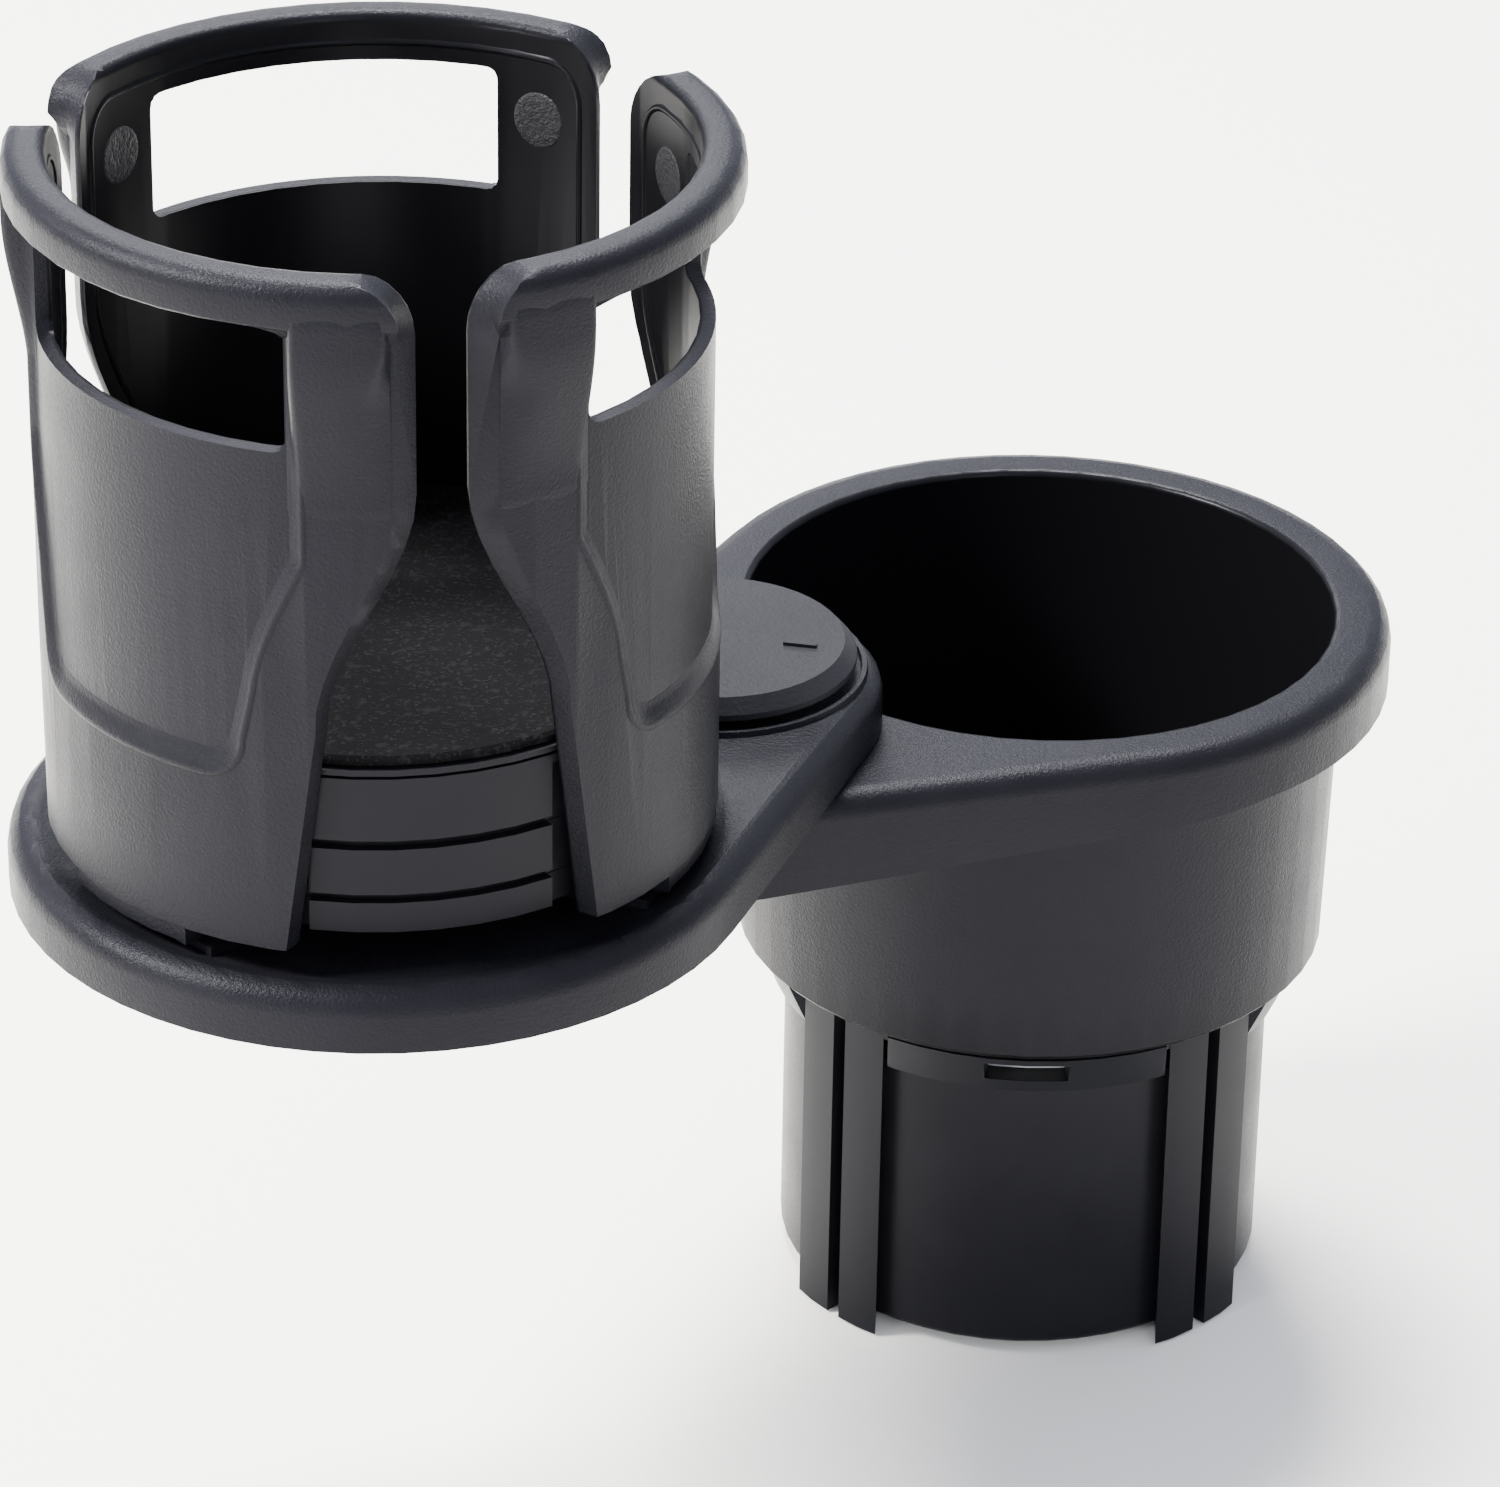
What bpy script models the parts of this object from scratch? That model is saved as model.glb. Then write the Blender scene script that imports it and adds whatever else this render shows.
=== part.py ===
"""Cup holder expander: an adjustable base plugs into a car's cup holder and carries a lower cup. A tray swings
over the cup's rim on a clamped pivot and carries an upper holder, whose three leaves slide out for wide cups.

Frame: origin on the base's axis at its foot, +Z up. The sizes below are in millimetres, in metres after MM.
"""

import math

import bmesh
import bpy
from mathutils import Matrix, Vector

MM = 0.001

# Clearances
GAP = 0.3 * MM  # between faces that touch on the real object
LAP = 0.1 * MM  # how far shapes of one moulding run into each other
SLIDE_GAP = 0.3 * MM  # each side of a tongue or a pin in its guide
SCREW_GAP = 0.2 * MM  # round a screw in its hole

# Base: four jaws round a core
JAW_COUNT = 4
RIB_RADIUS = 35.5 * MM
RIB_STAND = 2.4 * MM  # how far a rib stands proud of the panel
JAW_WALL = 2.2 * MM
JAW_SLIT = 2.2 * MM
PANEL_HALF_WIDTH = 19.1 * MM
PANEL_FOOT_Z = 1.3 * MM
PANEL_FOOT_ROUND = 1.2 * MM
JAW_TRAVEL = 6.0 * MM
JAW_TURN = math.radians(60)
JAW_PIN_RADIUS = 2.0 * MM
JAW_PIN_REACH = 15.0 * MM  # from the base's axis to a jaw's pin
TONGUE_WIDTH = 16.0 * MM
TONGUE_THICKNESS = 2.5 * MM
JAW_WEB = 2.0 * MM
JAW_WEB_DEPTH = 5.0 * MM

CORE_TUBE_RADIUS = 10.0 * MM
DECK_Z = 42.6 * MM
DECK_THICKNESS = 1.8 * MM
RAIL_WALL = 2.0 * MM
RAIL_LIP = 2.2 * MM
RAIL_LIP_THICKNESS = 2.2 * MM
TAB_WALL = 2.3 * MM
TAB_FLARE = 2.3 * MM
TAB_TOP_Z = 48.7 * MM
TAB_SIDE_GAP = 0.6 * MM
TAB_LIP = 1.5 * MM
TAB_LIP_THICKNESS = 1.0 * MM
TAB_WINDOW_HALF_ANGLE = math.radians(8.9)
FOOT_PLATE_THICKNESS = 2.7 * MM
FOOT_SCREW_COUNT = 4
FOOT_SCREW_REACH = 6.5 * MM
FOOT_SCREW_LENGTH = 11.0 * MM

# Lower cup
SCROLL_THICKNESS = 2.2 * MM
SCROLL_BORE = 8.0 * MM
SCROLL_SCREW_COUNT = 4
SCROLL_SCREW_REACH = 28.5 * MM
CUP_BOSS_WIDTH = 6.0 * MM
CUP_UNDERSIDE_Z = 49.9 * MM
CUP_FLOOR_THICKNESS = 2.5 * MM
CUP_FOOT_RADIUS = 39.8 * MM
CUP_FOOT_ROUND = 1.0 * MM
CUP_NECK_RADIUS = 40.6 * MM
CUP_MOUTH_RADIUS = 39.1 * MM
CUP_INNER_FOOT_RADIUS = 37.4 * MM
CUP_FLOOR_FILLET = 4.0 * MM

# Rim plate of the lower cup, a drop with its round end at the cup and its point at the pivot
PLATE_TOP_Z = 98.1 * MM
PLATE_THICKNESS = 2.5 * MM
PLATE_BIG_RADIUS = 46.8 * MM
PLATE_SMALL_RADIUS = 24.5 * MM
PLATE_EDGE_ROUND = 3.0 * MM
SKIRT_WALL = 2.2 * MM
SKIRT_DEPTH = 9.3 * MM
SKIRT_SLOPE = 0.055  # the skirt grows deeper towards the pivot
MOUTH_ROUND = 0.9 * MM

# Pivot
ARM_ANGLE = math.radians(221.5)
TRAY_ANGLE = math.radians(226.2)  # from the pivot to the upper holder's axis, as in the photo
PIVOT_BOSS_RADIUS = 10.0 * MM
PIVOT_BOSS_DEPTH = 9.5 * MM
BOLT_RADIUS = 3.0 * MM
BOLT_HEAD_RADIUS = 5.6 * MM
BOLT_HEAD_HEIGHT = 4.0 * MM
BOLT_HEAD_SINK = 1.5 * MM
THRUST_WASHER_RADIUS = 12.5 * MM
THRUST_WASHER_THICKNESS = 0.7 * MM

# Tray, a drop with its round end under the upper holder
TRAY_FOOT_Z = 98.5 * MM
TRAY_TOP_Z = 106.1 * MM
TRAY_BIG_RADIUS = 46.0 * MM
TRAY_SMALL_RADIUS = 21.7 * MM
TRAY_EDGE_ROUND = 3.0 * MM
TRAY_WALL = 2.2 * MM
TRAY_FLOOR_THICKNESS = 1.9 * MM
DISH_DEPTH = 1.2 * MM
DISH_RADIUS = 43.0 * MM
DISH_FLOOR_RADIUS = 39.6 * MM
TRAY_BOSS_RADIUS = 14.0 * MM
KNOB_SEAT_RADIUS = 12.0 * MM
KNOB_SEAT_DEPTH = 3.2 * MM
KNOB_RING_WIDTH = 1.0 * MM
KNOB_RING_HEIGHT = 0.7 * MM
SPIGOT_RADIUS = 12.1 * MM
COVER_THICKNESS = 1.6 * MM
COVER_SCREW_REACH = 37.5 * MM
COVER_BOSS_RADIUS = 3.4 * MM

# Cam ring in the tray
LEAF_COUNT = 3
LEAF_TRAVEL = 8.0 * MM
CAM_TURN = math.radians(70)
CAM_THICKNESS = 2.0 * MM
CAM_OUTER_RADIUS = 31.5 * MM
LEAF_PIN_RADIUS = 2.0 * MM
LEAF_PIN_REACH = 17.0 * MM

# Leaves
LEAF_INNER_RADIUS = 38.2 * MM
LEAF_WALL = 2.9 * MM
LEAF_FOOT_Z = 108.8 * MM
LEAF_TOP_Z = 195.5 * MM
RAIL_HEIGHT = 6.2 * MM
RAIL_STAND = 2.5 * MM
RAIL_SLOPE = 2.2 * MM
RAIL_OUTER_ROUND = 2.4 * MM
RAIL_INNER_ROUND = 1.4 * MM
WINDOW_FOOT_SHARE = 64.3 / 86.7  # heights on a leaf are shares of its own height
WINDOW_HALF_WIDTH = 24.4 * MM  # widths on a leaf are measured round its outer face
WINDOW_ROUND = 1.6 * MM
SLOT_HALF_WIDTH = 3.2 * MM  # half the gap between two leaves, high up
SLOT_FOOT_HALF_WIDTH = 18.6 * MM
SLOT_KNEE_HALF_WIDTH = 14.6 * MM
SLOT_NECK_SHARE = 59.2 / 86.7
SLOT_KNEE_SHARE = 28.7 / 86.7
LEAF_CORNER_ROUND = 8.0 * MM
EDGE_BEVEL = 3.0 * MM
EDGE_LAND = 0.6 * MM
EDGE_FADE = 0.3  # share of the bevel that is left below the knee
PANEL_SINK = 1.0 * MM
PANEL_SLOPE = 1.1 * MM
SUNK_HALF_WIDTH = 25.2 * MM
SUNK_WAIST_HALF_WIDTH = 18.8 * MM
SUNK_FOOT_HALF_WIDTH = 17.4 * MM
SUNK_SHOULDER_SHARE = 51.2 / 86.7
SUNK_WAIST_SHARE = 34.2 / 86.7
SUNK_FOOT_SHARE = 24.4 / 86.7
SUNK_CORNER_ROUND = 4.0 * MM
SUNK_BOW = 1.4  # how hollow the field's shoulders are, 1 being straight
LEAF_FOOT_WIDTH = 20.0 * MM
LEAF_FOOT_THICKNESS = 2.1 * MM
LEAF_FOOT_INNER = 13.5 * MM
TRACK_WALL = 2.0 * MM

# Hub under the cup floor
HUB_CLEARANCE = 0.8 * MM  # between the hub and the leaves' inner faces
HUB_RADIUS = LEAF_INNER_RADIUS - HUB_CLEARANCE
HUB_WALL = 2.4 * MM
HUB_FOOT_Z = 110.0 * MM
HUB_TOP_Z = 131.5 * MM
HUB_FLOOR_THICKNESS = 2.2 * MM
HUB_COLUMN_RADIUS = 11.0 * MM
HUB_WEB = 2.0 * MM
HUB_SCREW_REACH = 7.0 * MM
HUB_SCREW_LENGTH = 16.0 * MM
BAND_GROOVE_DEPTH = 1.2 * MM
BAND_GROOVES = ((113.9 * MM, 1.1 * MM), (121.0 * MM, 1.2 * MM), (130.4 * MM, 0.4 * MM))  # foot, height
BAND_LEFT_ANGLE = math.radians(24.4)
BAND_RIGHT_ANGLE = math.radians(21.3)
BAND_BACK_SINK = 1.1 * MM
MAT_EDGE = 0.8 * MM
MAT_RADIUS = HUB_RADIUS - MAT_EDGE
MAT_THICKNESS = 1.1 * MM
MAT_ROUND = 0.4 * MM

# Knob
KNOB_RADIUS = 18.3 * MM
KNOB_CLEARANCE = 0.5 * MM  # between the knob's edge and the hub
KNOB_FACE_RADIUS = 16.7 * MM
KNOB_TOP_Z = 110.3 * MM
KNOB_BEVEL_HEIGHT = 1.8 * MM
KNOB_EDGE_HEIGHT = 0.8 * MM
KNOB_EDGE_WALL = 1.4 * MM
KNOB_PLATE = 1.9 * MM
KNOB_HUB_RADIUS = 8.5 * MM
KNOB_DIMPLE_RADIUS = 3.4 * MM
KNOB_DIMPLE_DEPTH = 0.4 * MM
KNOB_MARK_REACH = 9.0 * MM
KNOB_MARK_LENGTH = 4.3 * MM
KNOB_MARK_WIDTH = 0.8 * MM
KNOB_MARK_HEIGHT = 0.4 * MM
KNOB_MARK_ANGLE = math.radians(-9)
INSERT_WALL = 1.5 * MM
SPRING_WASHER_RADIUS = 7.0 * MM
SPRING_WASHER_THICKNESS = 1.0 * MM

# Screws
SCREW_RADIUS = 1.3 * MM
SCREW_HEAD_RADIUS = 2.4 * MM
SCREW_HEAD_HEIGHT = 1.1 * MM
SCREW_EDGE = 0.3 * MM
SCREW_SKIN = 0.8 * MM  # material left over the tip of a screw

# Facets round a whole turn
FINE_FACET_COUNT = 48
COARSE_FACET_COUNT = 24
BORE_FACET_COUNT = 16
SMALL_FACET_COUNT = 10

# Places that follow from the sizes
PANEL_RADIUS = RIB_RADIUS - RIB_STAND
JAW_INNER_RADIUS = PANEL_RADIUS - JAW_WALL
JAW_TOP_Z = DECK_Z - GAP
DECK_TOP_Z = DECK_Z + DECK_THICKNESS
DECK_RADIUS = PANEL_RADIUS - GAP
TAB_INNER_RADIUS = DECK_RADIUS - LAP
SCROLL_RADIUS = TAB_INNER_RADIUS - GAP
SCROLL_FOOT_Z = DECK_TOP_Z + GAP
SCROLL_TOP_Z = SCROLL_FOOT_Z + SCROLL_THICKNESS
CUP_BOSS_RADIUS = TAB_INNER_RADIUS - TAB_LIP - GAP
CUP_BOSS_Z = SCROLL_TOP_Z + GAP
CUP_FLOOR_Z = CUP_UNDERSIDE_Z + CUP_FLOOR_THICKNESS
FOOT_RADIUS = JAW_INNER_RADIUS - GAP
FOOT_SCREW_Z = SCREW_EDGE
SCROLL_SCREW_Z = SCROLL_FOOT_Z + SCREW_GAP
SCROLL_SCREW_TIP_Z = CUP_FLOOR_Z - SCREW_SKIN
ARM_LENGTH = HUB_RADIUS + KNOB_RADIUS + KNOB_CLEARANCE  # base's axis to pivot, and pivot to upper holder's axis
PIVOT = Vector((math.cos(ARM_ANGLE), math.sin(ARM_ANGLE), 0)) * ARM_LENGTH
HOLDER = PIVOT + Vector((math.cos(TRAY_ANGLE), math.sin(TRAY_ANGLE), 0)) * ARM_LENGTH
PLATE_UNDERSIDE_Z = PLATE_TOP_Z - PLATE_THICKNESS
SKIRT_FOOT_Z = PLATE_TOP_Z - SKIRT_DEPTH
PIVOT_BOSS_Z = PLATE_UNDERSIDE_Z - PIVOT_BOSS_DEPTH
BOLT_HEAD_Z = PIVOT_BOSS_Z + BOLT_HEAD_SINK
BOLT_TIP_Z = KNOB_TOP_Z - KNOB_PLATE - GAP
WASHER_FOOT_Z = PLATE_TOP_Z + GAP
TRAY_BOSS_Z = WASHER_FOOT_Z + THRUST_WASHER_THICKNESS + GAP
DISH_FLOOR_Z = TRAY_TOP_Z - DISH_DEPTH
TRAY_CEILING_Z = DISH_FLOOR_Z - TRAY_FLOOR_THICKNESS
COVER_Z = TRAY_FOOT_Z + SCREW_EDGE
COVER_TOP_Z = COVER_Z + COVER_THICKNESS
COVER_SCREW_Z = COVER_Z - SCREW_EDGE
COVER_SCREW_TIP_Z = DISH_FLOOR_Z - SCREW_SKIN
CAM_Z = COVER_TOP_Z + GAP
CAM_TOP_Z = CAM_Z + CAM_THICKNESS
CAM_INNER_RADIUS = SPIGOT_RADIUS + SLIDE_GAP
LEAF_OUTER_RADIUS = LEAF_INNER_RADIUS + LEAF_WALL
RAIL_RADIUS = LEAF_OUTER_RADIUS + RAIL_STAND
RAIL_FOOT_Z = LEAF_TOP_Z - RAIL_HEIGHT
LEAF_HEIGHT = LEAF_TOP_Z - LEAF_FOOT_Z
WINDOW_FOOT_Z = LEAF_FOOT_Z + LEAF_HEIGHT * WINDOW_FOOT_SHARE
SLOT_NECK_Z = LEAF_FOOT_Z + LEAF_HEIGHT * SLOT_NECK_SHARE
SLOT_KNEE_Z = LEAF_FOOT_Z + LEAF_HEIGHT * SLOT_KNEE_SHARE
SUNK_SHOULDER_Z = LEAF_FOOT_Z + LEAF_HEIGHT * SUNK_SHOULDER_SHARE
SUNK_WAIST_Z = LEAF_FOOT_Z + LEAF_HEIGHT * SUNK_WAIST_SHARE
SUNK_FOOT_Z = LEAF_FOOT_Z + LEAF_HEIGHT * SUNK_FOOT_SHARE
FOOT_Z = TRAY_TOP_Z + GAP
FOOT_TOP_Z = FOOT_Z + LEAF_FOOT_THICKNESS
HUB_SCREW_Z = CAM_Z + GAP
HUB_COLUMN_Z = DISH_FLOOR_Z + GAP
KNOB_SEAT_Z = TRAY_TOP_Z - KNOB_SEAT_DEPTH
SPRING_WASHER_Z = KNOB_SEAT_Z + GAP
KNOB_FOOT_Z = SPRING_WASHER_Z + SPRING_WASHER_THICKNESS + GAP
KNOB_EDGE_Z = KNOB_TOP_Z - KNOB_BEVEL_HEIGHT - KNOB_EDGE_HEIGHT
INSERT_RADIUS = BOLT_RADIUS + SLIDE_GAP + INSERT_WALL
JAW_STEP = 2 * math.pi / JAW_COUNT
LEAF_STEP = 2 * math.pi / LEAF_COUNT


def clear_scene():
    for obj in list(bpy.data.objects):
        bpy.data.objects.remove(obj, do_unlink=True)


def new_collection(name):
    collection = bpy.data.collections.new(name)
    bpy.context.scene.collection.children.link(collection)
    return collection


clear_scene()
PARTS = new_collection("cup_holder_expander")
CUTTERS = new_collection("cutters")
CUTTERS.hide_render = True


def new_material(name, colour, roughness, metallic=0.0):
    material = bpy.data.materials.new(name)
    material.use_nodes = True
    shader = material.node_tree.nodes["Principled BSDF"]
    shader.inputs["Base Color"].default_value = (*colour, 1)
    shader.inputs["Roughness"].default_value = roughness
    shader.inputs["Metallic"].default_value = metallic
    return material


SATIN_BLACK = new_material("satin_black_plastic", (0.028, 0.028, 0.031), 0.5)
DEEP_BLACK = new_material("smooth_black_plastic", (0.016, 0.016, 0.018), 0.35)
SPECKLED_MAT = new_material("speckled_mat_rubber", (0.022, 0.019, 0.02), 0.85)
STEEL = new_material("zinc_plated_steel", (0.55, 0.56, 0.58), 0.3, 1.0)
BRASS = new_material("brass", (0.7, 0.5, 0.2), 0.3, 1.0)
NYLON = new_material("slide_nylon", (0.6, 0.6, 0.57), 0.45)


def polar(radius, angle, z=0.0):
    return Vector((radius * math.cos(angle), radius * math.sin(angle), z))


def turned_about(centre, angle):
    return Matrix.Translation(centre) @ Matrix.Rotation(angle, 4, "Z")


def arc(centre, radius, start, end, steps):
    """Points of an arc in a plane, from one angle in degrees to another."""
    points = []
    for i in range(steps + 1):
        angle = math.radians(start + (end - start) * i / steps)
        points.append((centre[0] + radius * math.cos(angle), centre[1] + radius * math.sin(angle)))
    return points


def as_object(name, mesh, place=None):
    obj = bpy.data.objects.new(name, mesh)
    CUTTERS.objects.link(obj)
    obj.hide_render = True
    obj.display_type = "WIRE"
    if place is not None:
        obj.matrix_world = place
    return obj


def bmesh_object(name, bm, place=None):
    """An object from a bmesh whose faces are first made to point outwards."""
    bmesh.ops.remove_doubles(bm, verts=bm.verts, dist=1e-7)
    bmesh.ops.recalc_face_normals(bm, faces=bm.faces)
    mesh = bpy.data.meshes.new(name)
    bm.to_mesh(mesh)
    bm.free()
    return as_object(name, mesh, place)


def baked(obj):
    """The object with its modifiers applied, its place in its mesh and open ends filled."""
    bpy.context.view_layer.update()
    graph = bpy.context.evaluated_depsgraph_get()
    mesh = bpy.data.meshes.new_from_object(obj.evaluated_get(graph))
    mesh.transform(obj.matrix_world)
    bm = bmesh.new()
    bm.from_mesh(mesh)
    bmesh.ops.remove_doubles(bm, verts=bm.verts, dist=1e-7)
    open_edges = [edge for edge in bm.edges if edge.is_boundary]
    if open_edges:
        bmesh.ops.holes_fill(bm, edges=open_edges, sides=0)
    name = obj.name
    bpy.data.objects.remove(obj, do_unlink=True)
    return bmesh_object(name, bm)


def turned(name, profile, facets=FINE_FACET_COUNT, angle=2 * math.pi, start=0.0, centre=None):
    """A profile of (radius, height) points turned round an upright axis by a Screw. A whole turn takes an open
    profile that ends on the axis or a closed loop. A part turn has flat ends."""
    bm = bmesh.new()
    verts = [bm.verts.new((r, 0, z)) for r, z in profile]
    for a, b in zip(verts, verts[1:]):
        bm.edges.new((a, b))
    if profile[0][0] > 0 or profile[-1][0] > 0:
        bm.edges.new((verts[-1], verts[0]))
    mesh = bpy.data.meshes.new(name)
    bm.to_mesh(mesh)
    bm.free()
    obj = as_object(name, mesh, turned_about(centre or Vector(), start))
    screw_modifier = obj.modifiers.new("turn", "SCREW")
    screw_modifier.angle = angle
    screw_modifier.steps = screw_modifier.render_steps = round(facets * angle / (2 * math.pi))
    screw_modifier.use_merge_vertices = angle > 6.28
    screw_modifier.merge_threshold = 1e-7
    screw_modifier.use_smooth_shade = False
    return baked(obj)


def extruded(name, outline, low, high, place=None):
    """A flat outline, filled as a 2D curve and given its thickness."""
    curve = bpy.data.curves.new(name, "CURVE")
    curve.dimensions = "2D"
    curve.fill_mode = "BOTH"
    curve.extrude = (high - low) / 2
    spline = curve.splines.new("POLY")
    spline.points.add(len(outline) - 1)
    for point, (x, y) in zip(spline.points, outline):
        point.co = (x, y, 0, 1)
    spline.use_cyclic_u = True
    lift = Matrix.Translation((0, 0, (high + low) / 2))
    return baked(as_object(name, curve, (place or Matrix()) @ lift))


def box(low, high, place=None):
    bm = bmesh.new()
    middle = (Vector(low) + Vector(high)) / 2
    size = Vector(high) - Vector(low)
    bmesh.ops.create_cube(bm, size=1, matrix=Matrix.Translation(middle) @ Matrix.Diagonal((*size, 1)))
    return baked(bmesh_object("box", bm, place))


def rod(radius, low, high, centre=(0, 0), sides=BORE_FACET_COUNT):
    bm = bmesh.new()
    place = Matrix.Translation((centre[0], centre[1], (low + high) / 2))
    bmesh.ops.create_cone(
        bm, cap_ends=True, segments=sides, radius1=radius, radius2=radius, depth=high - low, matrix=place
    )
    return bmesh_object("rod", bm)


def ring(inner, outer, low, high, centre=None, sides=FINE_FACET_COUNT):
    return turned("ring", [(inner, low), (outer, low), (outer, high), (inner, high)], sides, centre=centre)


def combine(target, other, operation):
    """A Boolean applied at once, which uses up the other object."""
    modifier = target.modifiers.new(operation.lower(), "BOOLEAN")
    modifier.operation = operation
    modifier.solver = "EXACT"
    modifier.object = other
    result = baked(target)
    bpy.data.objects.remove(other, do_unlink=True)
    return result


def cut(target, *others):
    for other in others:
        target = combine(target, other, "DIFFERENCE")
    return target


def joined(target, *others):
    for other in others:
        target = combine(target, other, "UNION")
    return target


def moved(obj, place):
    obj.matrix_world = place
    return baked(obj)


def triangulated(mesh, flatness):
    """The mesh as triangles, once faces that are flat to this angle are merged."""
    bm = bmesh.new()
    bm.from_mesh(mesh)
    if flatness:
        bmesh.ops.dissolve_limit(bm, angle_limit=flatness, verts=bm.verts, edges=bm.edges)
    bmesh.ops.triangulate(bm, faces=bm.faces, ngon_method="EAR_CLIP")
    return bm


def finish(obj, name, material, pivot=None, parent=None, smooth_angle=32):
    """Names a finished piece, moves its origin to its joint and gives it its material and shading."""
    for flatness in (math.radians(0.05), 0):
        bm = triangulated(obj.data, flatness)
        if flatness == 0 or all(len(edge.link_faces) == 2 for edge in bm.edges):
            bm.to_mesh(obj.data)
            bm.free()
            break
        bm.free()
    pivot = pivot or Vector()
    obj.data.transform(Matrix.Translation(-pivot))
    obj.location = pivot
    CUTTERS.objects.unlink(obj)
    PARTS.objects.link(obj)
    obj.hide_render = False
    obj.display_type = "TEXTURED"
    obj.name = obj.data.name = name
    obj.data.materials.clear()
    obj.data.materials.append(material)
    obj.data.shade_smooth()
    obj.data.set_sharp_from_angle(angle=math.radians(smooth_angle))
    bpy.context.view_layer.update()
    if parent is not None:
        obj.parent = parent
        obj.matrix_parent_inverse = parent.matrix_world.inverted()
    bpy.context.view_layer.update()
    return obj


def make_screw(name, centre, head_z, tip_z, parent):
    """A pan-head screw that stands point up, with a cross recess in its head."""
    profile = [
        (0, tip_z),
        (SCREW_RADIUS - SCREW_EDGE, tip_z),
        (SCREW_RADIUS, tip_z - SCREW_EDGE),
        (SCREW_RADIUS, head_z + SCREW_HEAD_HEIGHT),
        (SCREW_HEAD_RADIUS, head_z + SCREW_HEAD_HEIGHT),
        (SCREW_HEAD_RADIUS, head_z + SCREW_EDGE),
        (SCREW_HEAD_RADIUS - SCREW_EDGE, head_z),
        (0, head_z),
    ]
    body = turned(name, profile, SMALL_FACET_COUNT, centre=Vector((centre[0], centre[1], 0)))
    long = SCREW_HEAD_RADIUS * 0.6
    narrow = SCREW_HEAD_RADIUS * 0.15
    depth = SCREW_HEAD_HEIGHT * 0.6
    place = Matrix.Translation((centre[0], centre[1], head_z))
    body = cut(body, box((-long, -narrow, -depth), (long, narrow, depth), place))
    body = cut(body, box((-narrow, -long, -depth), (narrow, long, depth), place))
    return finish(body, name, STEEL, Vector((centre[0], centre[1], head_z)), parent)


def screw_hole(centre, head_z, tip_z):
    """The room that a screw needs: its shank's hole, blind past the tip, and its head's pocket."""
    pocket_top = head_z + SCREW_HEAD_HEIGHT + SCREW_GAP
    hole = rod(SCREW_RADIUS + SCREW_GAP, head_z, tip_z + SCREW_GAP, centre, SMALL_FACET_COUNT)
    pocket_foot = head_z - SCREW_HEAD_RADIUS
    pocket = rod(SCREW_HEAD_RADIUS + SCREW_GAP, pocket_foot, pocket_top, centre, SMALL_FACET_COUNT)
    return joined(hole, pocket)


def belt_outline(big_centre, big_radius, small_centre, small_radius):
    """The outline of a belt round two pulleys."""
    way = small_centre - big_centre
    heading = math.atan2(way.y, way.x)
    spread = math.acos((big_radius - small_radius) / way.length)
    points = []
    for centre, radius, start, sweep, steps in (
        (big_centre, big_radius, heading + spread, 2 * (math.pi - spread), 36),
        (small_centre, small_radius, heading - spread, 2 * spread, 16),
    ):
        for i in range(steps + 1):
            point = centre + polar(radius, start + sweep * i / steps)
            points.append((point.x, point.y))
    return points


def drop(big_centre, big_radius, small_radius, low, high, round_top=0.0, segments=3):
    """A plate in the outline of a belt from a round end to the pivot, with a rounded top edge."""
    solid = extruded("drop", belt_outline(big_centre, big_radius, PIVOT, small_radius), low, high)
    if not round_top:
        return solid
    bm = bmesh.new()
    bm.from_mesh(solid.data)
    bmesh.ops.dissolve_limit(bm, angle_limit=math.radians(1), verts=bm.verts, edges=bm.edges)
    near = 1e-6
    top = [e for e in bm.edges if all(abs(v.co.z - high) < near for v in e.verts)]
    bmesh.ops.bevel(
        bm, geom=top, offset=round_top, affect="EDGES", segments=segments, profile=0.5, material=-1
    )
    bpy.data.objects.remove(solid, do_unlink=True)
    return bmesh_object("drop", bm)


def spiral_slot(start_reach, travel, turn, start_angle, half_width, low, high, centre):
    """A slot whose middle line runs outwards evenly as it goes round, with round ends."""
    steps = 8
    inner = []
    outer = []
    for i in range(steps + 1):
        share = i / steps
        reach = start_reach + travel * share
        angle = start_angle - turn * share
        middle = polar(reach, angle)
        along = polar(travel / turn, angle) - polar(reach, angle + math.pi / 2)
        side = Vector((-along.y, along.x, 0)).normalized() * half_width
        inner.append(middle + side)
        outer.append(middle - side)
    outline = [(p.x, p.y) for p in inner] + [(p.x, p.y) for p in reversed(outer)]
    slot = extruded("slot", outline, low, high, Matrix.Translation(centre))
    for end in (polar(start_reach, start_angle), polar(start_reach + travel, start_angle - turn)):
        slot = joined(slot, rod(half_width, low, high, centre + end, BORE_FACET_COUNT))
    return slot


def straight_slot(start, end, half_width, low, high, place):
    """A slot with round ends along the place's own X axis."""
    outline = arc((end, 0), half_width, -90, 90, 6) + arc((start, 0), half_width, 90, 270, 6)
    return extruded("slot", outline, low, high, place)


# Base


def jaw_angle(index):
    return -math.pi / 2 + JAW_STEP * index


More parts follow.
